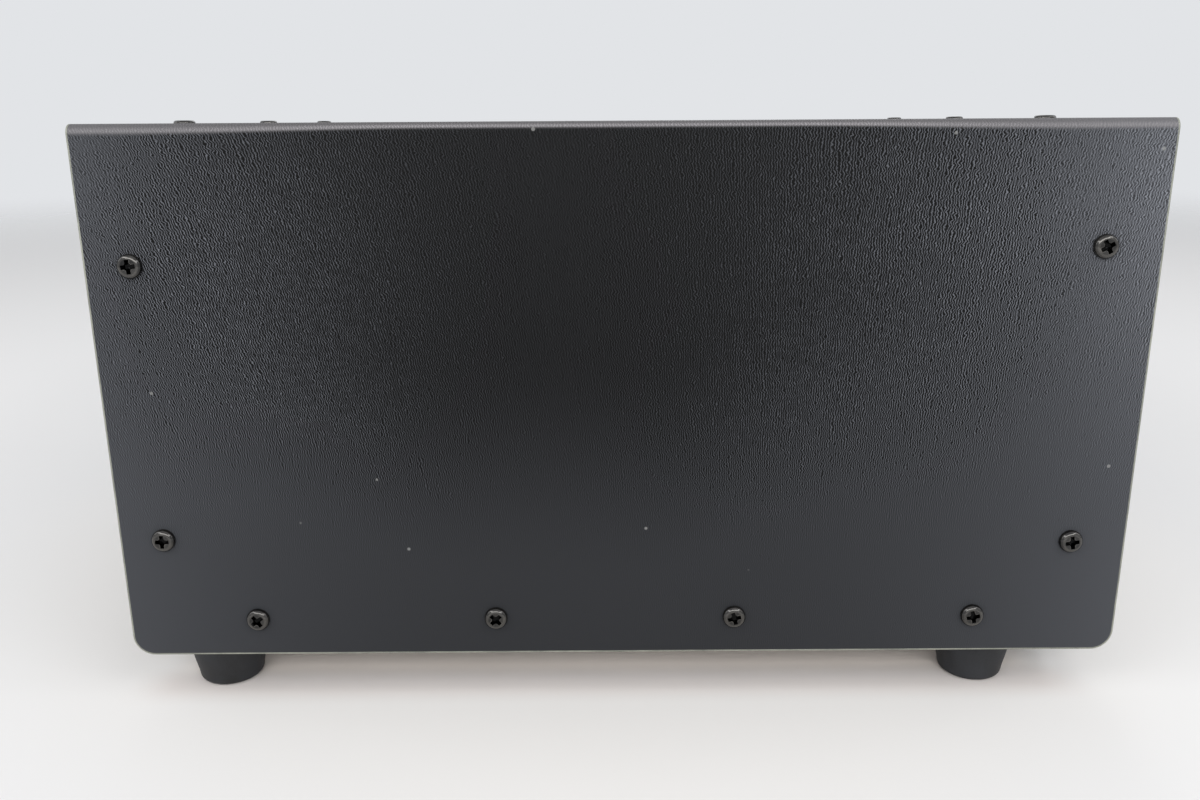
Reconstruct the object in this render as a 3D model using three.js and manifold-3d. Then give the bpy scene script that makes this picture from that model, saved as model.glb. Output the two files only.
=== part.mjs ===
// HF linear amplifier: a bench amplifier in a wrap-around steel cover, in millimetres, +Z up.
// The pieces are set out from the cover: x across its middle, y back from its front edge and
// z up from its lower edge. The last lines move all of it over the middle of its footprint.
import * as THREE from "three";
import { mergeVertices } from "three/addons/utils/BufferGeometryUtils.js";
import Module from "manifold-3d";

const wasm = await Module();
wasm.setup();

// Case
const coverWidth = 349;
const coverDepth = 381;
const coverHeight = 200.5;
const coverSheet = 1.5;
const bendRadius = 3.5;
const lowerCorner = 8;
const chassisSheet = 1.5;
const chassisWall = 29;
const panelSheet = 2;
const panelInset = 1;
const flangeDepth = 26;
const clearance = 0.3;
const trim = 1; // what a blank stands past the outline that cuts it to size

// Cover screws, as heights and distances from the cover's edges
const screwHeadRadius = 4.2;
const screwHeadHeight = 2.3;
const screwShank = 1.9;
const screwSeat = 0.05;
const frontScrews = { inset: 16.6, heights: [48.1, 151.9] };
const rearScrews = { inset: 20.8, heights: [45.5, 156.8] };
const lowerScrews = { first: 49.4, pitch: 92, count: 4, height: 15 };
const topScrews = { front: 16.1, rear: 19.6, pitch: 109.6 };

// Feet
const footHeight = 17.5;
const footInset = 18;
const frontFoot = 30.4;
const rearFoot = 48;

// Vent slots over the valves
const vent = { x: 87, y: 282, columns: 2, columnPitch: 66, rows: 10, rowPitch: 8, length: 56, width: 3.2 };

// Front controls, as [x, z] of their centres on the panel
const meterPlaces = { grid_meter: [-118, 136], plate_meter: [-39, 136] };
const tuningPlaces = { plate: [38, 132], load: [104, 132] };
const bandPlace = [71, 56];
const rockerPlaces = { power: [-128, 56], standby: [-92, 56] };
const lampPlace = [-58, 56];
const knobReach = 24;

// Tuning capacitors
const vaneRadius = 24;
const vaneSheet = 1.2;
const capacitorFront = 28;
const capacitors = {
  plate: { vanes: 5, pitch: 11 },
  load: { vanes: 8, pitch: 7 },
};

// Rear fittings
const connectorReach = 13;
const fanPlace = [87, 112];
const fanSize = 80;
const fanDepth = 25;
const socketPlaces = { rf_input_socket: [62, 42], rf_output_socket: [128, 42] };
const phonoPlace = [12, 42];
const groundPlace = [-22, 42];
const fusePlace = [-60, 45];
const inletPlace = [-120, 45];

// Inside
const transformer = { x: -98, y: 147, width: 138, stack: 84, height: 115, leg: 46, build: 21 };
const deck = { x: [6, 168], y: [215, 345], top: 38 };
const valvePlaces = [[50, 282], [124, 282]];
const chokePlace = [87, 232];
const tankCoil = { x: 86, y: 165, z: 128, radius: 27, wire: 2, turns: 6, pitch: 17 };

// Limits shared by several pieces
const halfWidth = coverWidth / 2;
const innerHalf = halfWidth - coverSheet - clearance;
const lidUnder = coverHeight - coverSheet - clearance;
const floorUnder = 1;
const floorTop = floorUnder + chassisSheet;
const seatOnFloor = floorTop + clearance;
const panelFront = panelInset;
const panelBack = panelFront + panelSheet;
const rearFace = coverDepth - panelInset;
const rearInside = rearFace - panelSheet;
const onPanel = panelFront - clearance;
const onRear = rearFace + clearance;

const amplifier = new THREE.Group();

// Materials: colour, roughness and metalness
const finishes = {
  vinyl: [0x303236, 0.55, 0],
  zinc: [0xb9bcc0, 0.38, 0.9],
  aluminium: [0xc6c9cc, 0.35, 0.9],
  panelPaint: [0x3b3e43, 0.5, 0],
  rubber: [0x1d1d1f, 0.85, 0],
  blackScrew: [0x17181a, 0.3, 0.7],
  blackPlastic: [0x1a1b1d, 0.4, 0],
  redPlastic: [0x9a1c18, 0.3, 0],
  lens: [0xdfe8ec, 0.05, 0],
  needle: [0x121212, 0.5, 0],
  brightMetal: [0xd9dbdd, 0.2, 1],
  brass: [0xb8923e, 0.3, 1],
  copper: [0xb56b43, 0.28, 1],
  iron: [0x4a4642, 0.6, 0.6],
  winding: [0x7a4a24, 0.5, 0],
  ceramic: [0xe9e6dc, 0.35, 0],
  valveGlass: [0xaebcc0, 0.08, 0],
  circuitBoard: [0x2f5b3a, 0.5, 0],
  relayCase: [0xd8d4c6, 0.4, 0],
};

function addPiece(name, geometry, finish) {
  const [color, roughness, metalness] = finishes[finish];
  const mesh = new THREE.Mesh(geometry, new THREE.MeshStandardMaterial({ color, roughness, metalness }));
  mesh.name = name;
  amplifier.add(mesh);
  return mesh;
}

// Booleans on closed solids
function toSolid(geometry) {
  const bare = geometry.clone();
  bare.deleteAttribute("normal");
  bare.deleteAttribute("uv");
  const merged = mergeVertices(bare, 1e-4);
  const mesh = new wasm.Mesh({
    numProp: 3,
    vertProperties: merged.attributes.position.array,
    triVerts: new Uint32Array(merged.index.array),
  });
  return new wasm.Manifold(mesh);
}

function toGeometry(solid) {
  const mesh = solid.getMesh();
  const geometry = new THREE.BufferGeometry();
  geometry.setAttribute("position", new THREE.BufferAttribute(mesh.vertProperties, 3));
  geometry.setIndex(new THREE.BufferAttribute(mesh.triVerts, 1));
  geometry.computeVertexNormals();
  return geometry;
}

function join(...shapes) {
  return toGeometry(shapes.map(toSolid).reduce((whole, next) => whole.add(next)));
}

function carve(body, ...tools) {
  return toGeometry(tools.map(toSolid).reduce((whole, next) => whole.subtract(next), toSolid(body)));
}

function clip(body, limit) {
  return toGeometry(toSolid(body).intersect(toSolid(limit)));
}

// Primitives, placed by the ranges that they fill
function block(xs, ys, zs) {
  const size = [xs, ys, zs].map(([low, high]) => high - low);
  const middle = [xs, ys, zs].map(([low, high]) => (low + high) / 2);
  return new THREE.BoxGeometry(...size).translate(...middle);
}

function pointAlong(geometry, axis) {
  if (axis === "x") geometry.rotateZ(-Math.PI / 2);
  if (axis === "z") geometry.rotateX(Math.PI / 2);
  return geometry;
}

// A turned piece. Its profile holds [radius, distance along the axis], from low to high.
function turned(profile, axis, centre, sides) {
  const points = profile.map(([radius, along]) => new THREE.Vector2(radius, along));
  return pointAlong(new THREE.LatheGeometry(points, sides), axis).translate(...centre);
}

function bar(radius, [low, high], axis, centre, sides) {
  return turned([[0, low], [radius, low], [radius, high], [0, high]], axis, centre, sides);
}

// A flat shape pushed along an axis: x takes (y, z) shapes, y takes (x, z) and z takes (x, y).
function slab(shape, axis, [low, high], curveSegments = 4) {
  const geometry = new THREE.ExtrudeGeometry(shape, { depth: high - low, bevelEnabled: false, curveSegments });
  if (axis === "x") return geometry.rotateX(Math.PI / 2).rotateZ(Math.PI / 2).translate(low, 0, 0);
  if (axis === "y") return geometry.rotateX(Math.PI / 2).translate(0, high, 0);
  return geometry.translate(0, 0, low);
}

function roundedRectangle([left, right], [low, high], radius) {
  const shape = new THREE.Shape();
  shape.moveTo(left + radius, low);
  shape.lineTo(right - radius, low);
  shape.absarc(right - radius, low + radius, radius, -Math.PI / 2, 0);
  shape.lineTo(right, high - radius);
  shape.absarc(right - radius, high - radius, radius, 0, Math.PI / 2);
  shape.lineTo(left + radius, high);
  shape.absarc(left + radius, high - radius, radius, Math.PI / 2, Math.PI);
  shape.lineTo(left, low + radius);
  shape.absarc(left + radius, low + radius, radius, Math.PI, Math.PI * 1.5);
  return shape;
}

function around(middle, size) {
  return [middle - size / 2, middle + size / 2];
}

function copies(count, first, pitch) {
  return Array.from({ length: count }, (_, index) => first + index * pitch);
}

// Screw places as [y, z] on the sides and [x, y] on the top
const sideScrewPlaces = [
  ...frontScrews.heights.map((height) => [frontScrews.inset, height]),
  ...rearScrews.heights.map((height) => [coverDepth - rearScrews.inset, height]),
  ...copies(lowerScrews.count, lowerScrews.first, lowerScrews.pitch).map((y) => [y, lowerScrews.height]),
];
const topScrewPlaces = [topScrews.front, coverDepth - topScrews.rear].flatMap((y) =>
  [-1, 0, 1].map((step) => [step * topScrews.pitch, y]));

function screwHoles(radius, sides) {
  const across = [-halfWidth - 1, halfWidth + 1];
  const down = [lidUnder - 5, coverHeight + 1];
  return [
    ...sideScrewPlaces.map(([y, z]) => bar(radius, across, "x", [0, y, z], sides)),
    ...topScrewPlaces.map(([x, y]) => bar(radius, down, "z", [x, y, 0], sides)),
  ];
}

// Cover: one sheet bent over the top, open below, at the front and at the rear
function bentSheet() {
  const shape = new THREE.Shape();
  const inside = halfWidth - coverSheet;
  const innerBend = bendRadius - coverSheet;
  const bendX = halfWidth - bendRadius;
  const bendZ = coverHeight - bendRadius;
  shape.moveTo(-halfWidth, -trim);
  shape.lineTo(-inside, -trim);
  shape.lineTo(-inside, bendZ);
  shape.absarc(-bendX, bendZ, innerBend, Math.PI, Math.PI / 2, true);
  shape.absarc(bendX, bendZ, innerBend, Math.PI / 2, 0, true);
  shape.lineTo(inside, -trim);
  shape.lineTo(halfWidth, -trim);
  shape.absarc(bendX, bendZ, bendRadius, 0, Math.PI / 2);
  shape.absarc(-bendX, bendZ, bendRadius, Math.PI / 2, Math.PI);
  return slab(shape, "y", [-trim, coverDepth + trim], 4);
}

function sideOutline() {
  const shape = roundedRectangle([0, coverDepth], [0, coverHeight * 2], lowerCorner);
  return slab(shape, "x", [-halfWidth - trim, halfWidth + trim], 5);
}

function slotOutline(length, width) {
  const end = length / 2;
  const side = width / 2;
  const corners = [[end, 0], [end - side, side], [side - end, side], [-end, 0], [side - end, -side], [end - side, -side]];
  return new THREE.Shape(corners.map(([x, y]) => new THREE.Vector2(x, y)));
}

function ventSlots() {
  const firstColumn = vent.x - (vent.columns - 1) * vent.columnPitch / 2;
  const firstRow = vent.y - (vent.rows - 1) * vent.rowPitch / 2;
  return copies(vent.columns, firstColumn, vent.columnPitch).flatMap((x) =>
    copies(vent.rows, firstRow, vent.rowPitch).map((y) => {
      const slot = slotOutline(vent.length, vent.width);
      return slab(slot, "z", [lidUnder, coverHeight + 1]).translate(x, y, 0);
    }));
}

function makeCover() {
  const blank = clip(bentSheet(), sideOutline());
  addPiece("cover", carve(blank, ...screwHoles(2.6, 6), ...ventSlots()), "vinyl");
}

function makeCoverScrews() {
  const profile = [
    [0, -6], [screwShank, -6], [screwShank, 0], [screwHeadRadius, 0],
    [screwHeadRadius, 0.45 * screwHeadHeight], [0.7 * screwHeadRadius, 0.87 * screwHeadHeight],
    [0, screwHeadHeight],
  ];
  sideScrewPlaces.forEach(([y, z], index) => {
    const centre = [halfWidth + screwSeat, y, z];
    addPiece(`cover_screw_${index + 1}`, turned(profile, "x", centre, 10), "blackScrew");
  });
}

// Chassis: a floor tray with a low wall all round
function makeChassis() {
  const length = [panelBack + clearance, rearInside - clearance];
  const tray = block([-innerHalf, innerHalf], length, [floorUnder, chassisWall]);
  const hollow = block(
    [-innerHalf + chassisSheet, innerHalf - chassisSheet],
    [length[0] + chassisSheet, length[1] - chassisSheet],
    [floorTop, chassisWall + 1],
  );
  addPiece("chassis", carve(tray, hollow, ...screwHoles(2.4, 6)), "zinc");
}

// Feet: tapered rubber with a screw recess below
function makeFeet() {
  const profile = [
    [0, 9], [4.5, 9], [4.5, 0], [9.8, 0], [11.9, 1], [12.8, 3.2],
    [15.6, footHeight + floorUnder - clearance], [0, footHeight + floorUnder - clearance],
  ];
  const across = halfWidth - footInset;
  const places = {
    front_left_foot: [-across, frontFoot],
    front_right_foot: [across, frontFoot],
    rear_left_foot: [-across, coverDepth - rearFoot],
    rear_right_foot: [across, coverDepth - rearFoot],
  };
  for (const [name, [x, y]] of Object.entries(places)) {
    addPiece(name, turned(profile, "z", [x, y, -footHeight], 18), "rubber");
  }
}

// Front and rear panels: a plate with flanges bent inwards under the cover
function panelBlank(plate, flange) {
  const wall = innerHalf - chassisSheet;
  const outer = innerHalf + trim;
  const top = lidUnder + trim;
  const sideFlange = [chassisWall + clearance, top];
  const raw = join(
    block([-outer, outer], plate, [floorUnder, top]),
    block([-outer, -wall], flange, sideFlange),
    block([wall, outer], flange, sideFlange),
    block([-wall - 0.5, wall + 0.5], flange, [lidUnder - chassisSheet, top - 0.5]),
  );
  const insideBend = roundedRectangle([-innerHalf, innerHalf], [-lidUnder, lidUnder], bendRadius);
  return clip(raw, slab(insideBend, "y", [-trim, coverDepth + trim], 3));
}

function makeFrontPanel() {
  const through = [panelFront - 1, panelBack + 1];
  const windows = Object.values(meterPlaces).map(([x, z]) => block(around(x, 62), through, around(z, 48)));
  const rockers = Object.values(rockerPlaces).map(([x, z]) => block(around(x, 20.6), through, around(z, 29.6)));
  const shafts = [...Object.values(tuningPlaces), bandPlace].map(([x, z]) =>
    bar(8, through, "y", [x, 0, z], 10));
  const lamp = bar(5, through, "y", [lampPlace[0], 0, lampPlace[1]], 10);
  const blank = panelBlank([panelFront, panelBack], [panelBack - 0.5, panelFront + flangeDepth]);
  addPiece("front_panel", carve(blank, ...windows, ...rockers, ...shafts, lamp, ...screwHoles(2.4, 6)), "panelPaint");
}

function makeRearPanel() {
  const through = [rearInside - 1, rearFace + 1];
  const hole = (radius, [x, z], sides) => bar(radius, through, "y", [x, 0, z], sides);
  const holes = [
    hole(37, fanPlace, 24),
    ...fanCorners().map((corner) => hole(2.4, corner, 6)),
    ...Object.values(socketPlaces).map((place) => hole(6.8, place, 10)),
    ...phonoCentres().map((place) => hole(3.6, place, 8)),
    hole(3.4, groundPlace, 8),
    hole(6.8, fusePlace, 10),
    block(around(inletPlace[0], 28.4), through, around(inletPlace[1], 20.4)),
  ];
  const blank = panelBlank([rearInside, rearFace], [rearFace - flangeDepth, rearInside + 0.5]);
  addPiece("rear_panel", carve(blank, ...holes, ...screwHoles(2.4, 6)), "aluminium");
}

// Meters: a case with its dial at the bottom of a pocket, a needle and a clear front
function makeMeter(name, [x, z]) {
  const bezelFront = onPanel - 4.5;
  const dialFace = 6;
  const maskTop = z - 11;
  const maskBack = 1.5;
  const body = join(
    slab(roundedRectangle(around(x, 74), around(z, 60), 3), "y", [bezelFront, onPanel]),
    block(around(x, 61.2), [onPanel - 1, 30], around(z, 47.2)),
  );
  const section = new THREE.Shape();
  section.moveTo(bezelFront - 1, maskTop);
  section.lineTo(maskBack, maskTop);
  section.lineTo(maskBack, z - 21);
  section.lineTo(dialFace, z - 21);
  section.lineTo(dialFace, z + 21);
  section.lineTo(bezelFront - 1, z + 21);
  const pocket = slab(section, "x", around(x, 56));
  const rebate = block(around(x, 66), [bezelFront - 1, bezelFront + 2], around(z, 52));
  addPiece(`${name}_case`, carve(body, pocket, rebate), "blackPlastic");

  const window = block(around(x, 65.4), [bezelFront + 0.2, bezelFront + 1.7], around(z, 51.4));
  addPiece(`${name}_window`, window, "lens");

  const pointer = new THREE.Shape();
  pointer.moveTo(-0.8, -7);
  pointer.lineTo(0.8, -7);
  pointer.lineTo(0.7, 0);
  pointer.lineTo(0.25, 32);
  pointer.lineTo(-0.25, 32);
  pointer.lineTo(-0.7, 0);
  const movement = join(slab(pointer, "y", [3, 3.8]), bar(3, [2.4, 5.4], "y", [0, 0, 0], 12));
  const restAngle = -Math.PI / 4;
  addPiece(`${name}_needle`, movement.rotateY(restAngle).translate(x, 0, z - 14), "needle");
}

// Tuning: a fluted knob drives a dial and the vanes behind it through a 6 to 1 ball drive
function flutedOutline(radius, depth, flutes) {
  const points = copies(flutes * 2, 0, 1).map((step) => {
    const angle = (step * Math.PI) / flutes;
    const reach = radius - (step % 2) * depth;
    return new THREE.Vector2(reach * Math.cos(angle), reach * Math.sin(angle));
  });
  return new THREE.Shape(points);
}

function makeTuningKnob(name, [x, z]) {
  const face = -knobReach;
  const grip = slab(flutedOutline(16, 1, 14), "y", [face + 2.5, -9]);
  const cap = turned([[0, face], [12, face], [14.5, face + 3], [0, face + 3]], "y", [0, 0, 0], 20);
  const skirt = bar(17, [-9.5, -6.8], "y", [0, 0, 0], 20);
  const shaft = bar(2.8, [-8, 11.5], "y", [0, 0, 0], 8);
  addPiece(`${name}_knob`, join(grip, cap, skirt, shaft).translate(x, 0, z), "blackPlastic");
}

function makeTuningDial(name, [x, z]) {
  const profile = [
    [3.3, -6.4], [23, -6.4], [28, -2], [28, -0.8], [6.5, -0.8], [6.5, 12], [3.3, 12], [3.3, -6.4],
  ];
  addPiece(`${name}_dial`, turned(profile, "y", [x, 0, z], 24), "aluminium");
}

function statorVane() {
  const shape = new THREE.Shape();
  const reach = vaneRadius + 1;
  shape.moveTo(-reach, -vaneRadius - 5);
  shape.lineTo(reach, -vaneRadius - 5);
  shape.lineTo(reach, -2);
  shape.lineTo(7, -2);
  shape.absarc(0, -2, 7, 0, -Math.PI, true);
  shape.lineTo(-reach, -2);
  return shape;
}

function rotorVane() {
  const shape = new THREE.Shape();
  shape.moveTo(-vaneRadius, 0);
  shape.lineTo(vaneRadius, 0);
  shape.absarc(0, 0, vaneRadius, 0, Math.PI);
  return shape;
}

function makeCapacitor(name, [x, z], { vanes, pitch }) {
  const plate = 2.5;
  const inside = capacitorFront + plate;
  const rear = inside + (vanes + 1) * pitch;
  const square = (ys) => block(around(0, 64), ys, around(0, 64));
  const corners = [-29, 29].flatMap((across) => [-29, 29].map((up) => [across, 0, up]));
  const frame = join(
    square([capacitorFront, inside]),
    square([rear, rear + plate]),
    ...corners.map((corner) => bar(2.4, [panelBack + clearance, rear + 1], "y", corner, 6)),
  );
  const bore = bar(4.6, [0, rear + plate + 1], "y", [0, 0, 0], 8);
  addPiece(`${name}_capacitor_frame`, carve(frame, bore).translate(x, 0, z), "aluminium");

  const rods = [-18, 18].map((across) =>
    block(around(across, 3), [inside + clearance, rear - clearance], around(-vaneRadius - 4, 4)));
  const fixedVanes = copies(vanes + 1, inside + pitch / 2, pitch).map((y) =>
    slab(statorVane(), "y", around(y, vaneSheet), 4));
  addPiece(`${name}_stator`, join(...rods, ...fixedVanes).translate(x, 0, z), "aluminium");

  const shaft = turned(
    [[0, 12.3], [6.5, 12.3], [6.5, 20], [3.6, 20], [3.6, rear + plate + 3], [0, rear + plate + 3]],
    "y", [0, 0, 0], 8,
  );
  const movingVanes = copies(vanes, inside + pitch, pitch).map((y) =>
    slab(rotorVane(), "y", around(y, vaneSheet), 9));
  addPiece(`${name}_rotor`, join(shaft, ...movingVanes).translate(x, 0, z), "aluminium");
}

// Band switch: a pointer knob on a long shaft through three ceramic wafers
function makeBandSwitch([x, z]) {
  const wafers = [40, 70, 100];
  const back = 104;
  const skirt = turned([[0, -9], [15, -9], [18, -4], [18, -0.7], [0, -0.7]], "y", [0, 0, 0], 20);
  const pointer = slab(roundedRectangle(around(0, 9), around(0, 34), 3), "y", [-20, -8], 3);
  const restAngle = -THREE.MathUtils.degToRad(75);
  const bore = bar(3.5, [-14, 0], "y", [0, 0, 0], 8);
  addPiece("band_knob", carve(join(skirt, pointer), bore).rotateY(restAngle).translate(x, 0, z), "blackPlastic");

  const shaft = bar(3, [-13.7, back + 4], "y", [0, 0, 0], 8);
  const contacts = wafers.map((y) => bar(9.3, around(y, 3), "y", [0, 0, 0], 10));
  addPiece("band_shaft", join(shaft, ...contacts).translate(x, 0, z), "brightMetal");

  const index = block(around(0, 46), [panelBack + clearance, panelBack + 2.3], around(0, 34));
  const discs = wafers.map((y) => bar(25, around(y, 2), "y", [0, 0, 0], 12));
  const rods = [-19, 19].map((across) => block(around(across, 3), [panelBack + 1, back], around(0, 3)));
  const holes = [
    bar(3.7, [0, wafers[0] - 10], "y", [0, 0, 0], 8),
    ...wafers.map((y) => bar(10.3, around(y, 4), "y", [0, 0, 0], 10)),
  ];
  addPiece("band_switch", carve(join(index, ...discs, ...rods), ...holes).translate(x, 0, z), "ceramic");
}

// Rockers: a body with a pocket, and a paddle that tips in it about a sideways axis
const rockerPivot = 3;
const rockerTilt = THREE.MathUtils.degToRad(8);

function makeRocker(name, [x, z]) {
  const front = onPanel - 1.6;
  const body = join(
    slab(roundedRectangle(around(x, 24), around(z, 33), 1.5), "y", [front, onPanel], 2),
    block(around(x, 20), [onPanel - 1, 24], around(z, 29)),
  );
  const pocket = block(around(x, 17), [front - 1, 10], around(z, 26.8));
  addPiece(`${name}_switch`, carve(body, pocket), "blackPlastic");

  const shape = new THREE.Shape();
  shape.moveTo(-6.4, 12);
  shape.quadraticCurveTo(-2.4, 0, -6.4, -12);
  shape.lineTo(-5, -12.2);
  shape.lineTo(0.5, -8.5);
  shape.lineTo(3.5, 0);
  shape.lineTo(0.5, 8.5);
  shape.lineTo(-5, 12.2);
  const paddle = slab(shape, "x", around(0, 16.4), 6).rotateX(rockerTilt);
  addPiece(`${name}_rocker`, paddle.translate(x, rockerPivot, z), "blackPlastic");
}

function makeLamp([x, z]) {
  const profile = [[0, -4.5], [3, -4], [4.2, -2.4], [6.5, -1.5], [6.5, onPanel], [4.5, onPanel], [4.5, 14], [0, 14]];
  addPiece("transmit_lamp", turned(profile, "y", [x, 0, z], 12), "redPlastic");
}

// Fan: frame, seven-bladed impeller and a wire guard on the outside of the rear panel
function fanCorners() {
  const offset = 35.75;
  return [-offset, offset].flatMap((across) =>
    [-offset, offset].map((up) => [fanPlace[0] + across, fanPlace[1] + up]));
}

function fanBlade(root, tip) {
  const chord = 17;
  const camber = 3;
  const thickness = 1.4;
  const section = new THREE.Shape();
  section.moveTo(-chord / 2, 0);
  section.quadraticCurveTo(0, 2 * camber, chord / 2, 0);
  section.lineTo(chord / 2, thickness);
  section.quadraticCurveTo(0, 2 * camber + thickness, -chord / 2, thickness);
  const blade = new THREE.ExtrudeGeometry(section, {
    depth: tip - root, steps: 2, bevelEnabled: false, curveSegments: 3,
  });
  const position = blade.attributes.position;
  const rootAngle = 0.95;
  const tipAngle = 0.6;
  for (let i = 0; i < position.count; i += 1) {
    const share = position.getZ(i) / (tip - root);
    const angle = rootAngle + (tipAngle - rootAngle) * share;
    const across = position.getX(i);
    const along = position.getY(i) - camber;
    position.setXY(
      i,
      across * Math.cos(angle) - along * Math.sin(angle),
      across * Math.sin(angle) + along * Math.cos(angle),
    );
  }
  return blade.translate(0, 0, root);
}

function makeFan([x, z]) {
  const ys = [rearInside - clearance - fanDepth, rearInside - clearance];
  const middle = (ys[0] + ys[1]) / 2 - 2;
  const bore = 38.2;
  const square = slab(roundedRectangle(around(0, fanSize), around(0, fanSize), 5), "y", ys, 3);
  const tunnel = bar(bore, [ys[0] - 1, ys[1] + 1], "y", [0, 0, 0], 24);
  const corners = fanCorners().map(([cx, cz]) => bar(2.2, [ys[0] - 1, ys[1] + 1], "y", [cx - x, 0, cz - z], 6));
  const strut = [ys[1] - 4, ys[1] - 0.5];
  const struts = [block(around(0, 78), strut, around(0, 3)), block(around(0, 3), strut, around(0, 78))];
  const motor = bar(16, strut, "y", [0, 0, 0], 16);
  const frame = join(carve(square, tunnel, ...corners), ...struts, motor);
  addPiece("fan_frame", frame.translate(x, 0, z), "blackPlastic");

  const bladeCount = 7;
  const hub = turned(
    [[0, ys[0] + 1], [14, ys[0] + 1], [17, ys[0] + 3.5], [17, ys[1] - 5], [0, ys[1] - 5]],
    "y", [0, 0, 0], 14,
  );
  const blades = copies(bladeCount, 0, (2 * Math.PI) / bladeCount).map((angle) =>
    fanBlade(15.5, 36.4).translate(0, middle, 0).rotateY(angle));
  addPiece("fan_impeller", join(hub, ...blades).translate(x, 0, z), "blackPlastic");

  const wire = 1.1;
  const guardY = onRear + wire;
  const ring = (radius) => {
    const section = copies(5, 0, Math.PI / 2).map((angle) =>
      [radius + wire * Math.sin(angle), guardY - wire * Math.cos(angle)]);
    return turned(section, "y", [0, 0, 0], 20);
  };
  const spokes = [Math.PI / 4, -Math.PI / 4].map((angle) =>
    bar(wire, [-48, 48], "x", [0, 0, 0], 4).rotateY(angle).translate(0, guardY + 0.6, 0));
  const eyes = fanCorners().map(([cx, cz]) => bar(3.6, [onRear, onRear + 2.4], "y", [cx - x, 0, cz - z], 8));
  addPiece("fan_guard", join(...[12, 24, 36].map(ring), ...spokes, ...eyes).translate(x, 0, z), "brightMetal");
}

// Coaxial sockets: square flange, threaded barrel and a tubular centre contact
function makeCoaxialSocket(name, [x, z]) {
  const flange = block(around(0, 25.4), [onRear, onRear + 1.6], around(0, 25.4));
  const end = coverDepth + connectorReach;
  const profile = [
    [0, onRear - 18], [1.5, onRear - 18], [1.5, onRear - 11], [6, onRear - 11], [6, onRear + 0.8],
    [7.9, onRear + 0.8], [7.9, end], [6.2, end], [6.2, end - 3.8], [2.5, end - 3.8], [2.5, end - 1.5],
    [1.9, end - 1.5], [1.9, end - 9], [0, end - 9],
  ];
  const barrel = turned(profile, "y", [0, 0, 0], 14);
  addPiece(name, join(flange, barrel).translate(x, 0, z), "brightMetal");
}

// Two phono sockets on one plate, for the transmit relay line and the level control line
function phonoCentres() {
  return [-10, 10].map((across) => [phonoPlace[0] + across, phonoPlace[1]]);
}

function makePhonoJacks([x, z]) {
  const plate = slab(roundedRectangle(around(x, 42), around(z, 16), 3), "y", [onRear, onRear + 1.5], 2);
  const profile = [
    [0, onRear - 7], [3, onRear - 7], [3, onRear + 0.8], [4.1, onRear + 0.8], [4.1, onRear + 9.5],
    [3.2, onRear + 9.5], [3.2, onRear + 6.5], [1.6, onRear + 6.5], [1.6, onRear + 3], [0, onRear + 3],
  ];
  const sockets = phonoCentres().map(([cx, cz]) => turned(profile, "y", [cx, 0, cz], 10));
  addPiece("phono_jacks", join(plate, ...sockets), "brass");
}

function makeGroundTerminal([x, z]) {
  const profile = [
    [0, rearInside - 8], [2.9, rearInside - 8], [2.9, onRear], [7, onRear], [7, onRear + 1.4],
    [5.4, onRear + 1.4], [5.4, onRear + 7], [2.9, onRear + 7], [2.9, onRear + 11.5], [0, onRear + 11.5],
  ];
  const stud = turned(profile, "y", [0, 0, 0], 10);
  const wing = new THREE.Shape();
  wing.moveTo(4, onRear + 2);
  wing.lineTo(9, onRear + 4);
  wing.quadraticCurveTo(13.5, onRear + 12, 10, onRear + 12);
  wing.lineTo(4, onRear + 6.5);
  const right = slab(wing, "z", around(0, 2.2), 4);
  const left = right.clone().rotateY(Math.PI);
  addPiece("ground_terminal", join(stud, right, left).translate(x, 0, z), "brass");
}

function makeFuse([x, z]) {
  const holder = [
    [0, onRear - 32], [6.2, onRear - 32], [6.2, onRear], [8.5, onRear], [8.5, onRear + 3],
    [4.8, onRear + 3], [4.8, onRear - 26], [0, onRear - 26],
  ];
  addPiece("fuse_holder", turned(holder, "y", [x, 0, z], 12), "blackPlastic");
  const carrier = [
    [0, onRear - 24], [4.2, onRear - 24], [4.2, onRear + 3.3], [7.2, onRear + 3.3], [7.2, onRear + 11],
    [6.2, onRear + 12], [0, onRear + 12],
  ];
  addPiece("fuse_cap", turned(carrier, "y", [x, 0, z], 12), "blackPlastic");
}

function makeMainsInlet([x, z]) {
  const front = onRear + 2;
  const cavityBack = onRear - 15;
  const flange = slab(roundedRectangle(around(0, 50), around(0, 24), 4), "y", [onRear, front], 3);
  const body = block(around(0, 27.6), [onRear - 18, onRear + 1], around(0, 19.6));
  const cavity = block(around(0, 24.6), [cavityBack, front + 1], around(0, 16.6));
  const holes = [-20, 20].map((across) => bar(1.8, [onRear - 1, front + 1], "y", [across, 0, 0], 8));
  const shell = carve(join(flange, body), cavity, ...holes);
  const blades = [[-7, -2], [0, 2], [7, -2]].map(([across, up]) =>
    block(around(across, 2), [cavityBack - 1, front - 3], around(up, 4)));
  addPiece("mains_inlet", join(shell, ...blades).translate(x, 0, z), "blackPlastic");
}

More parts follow.
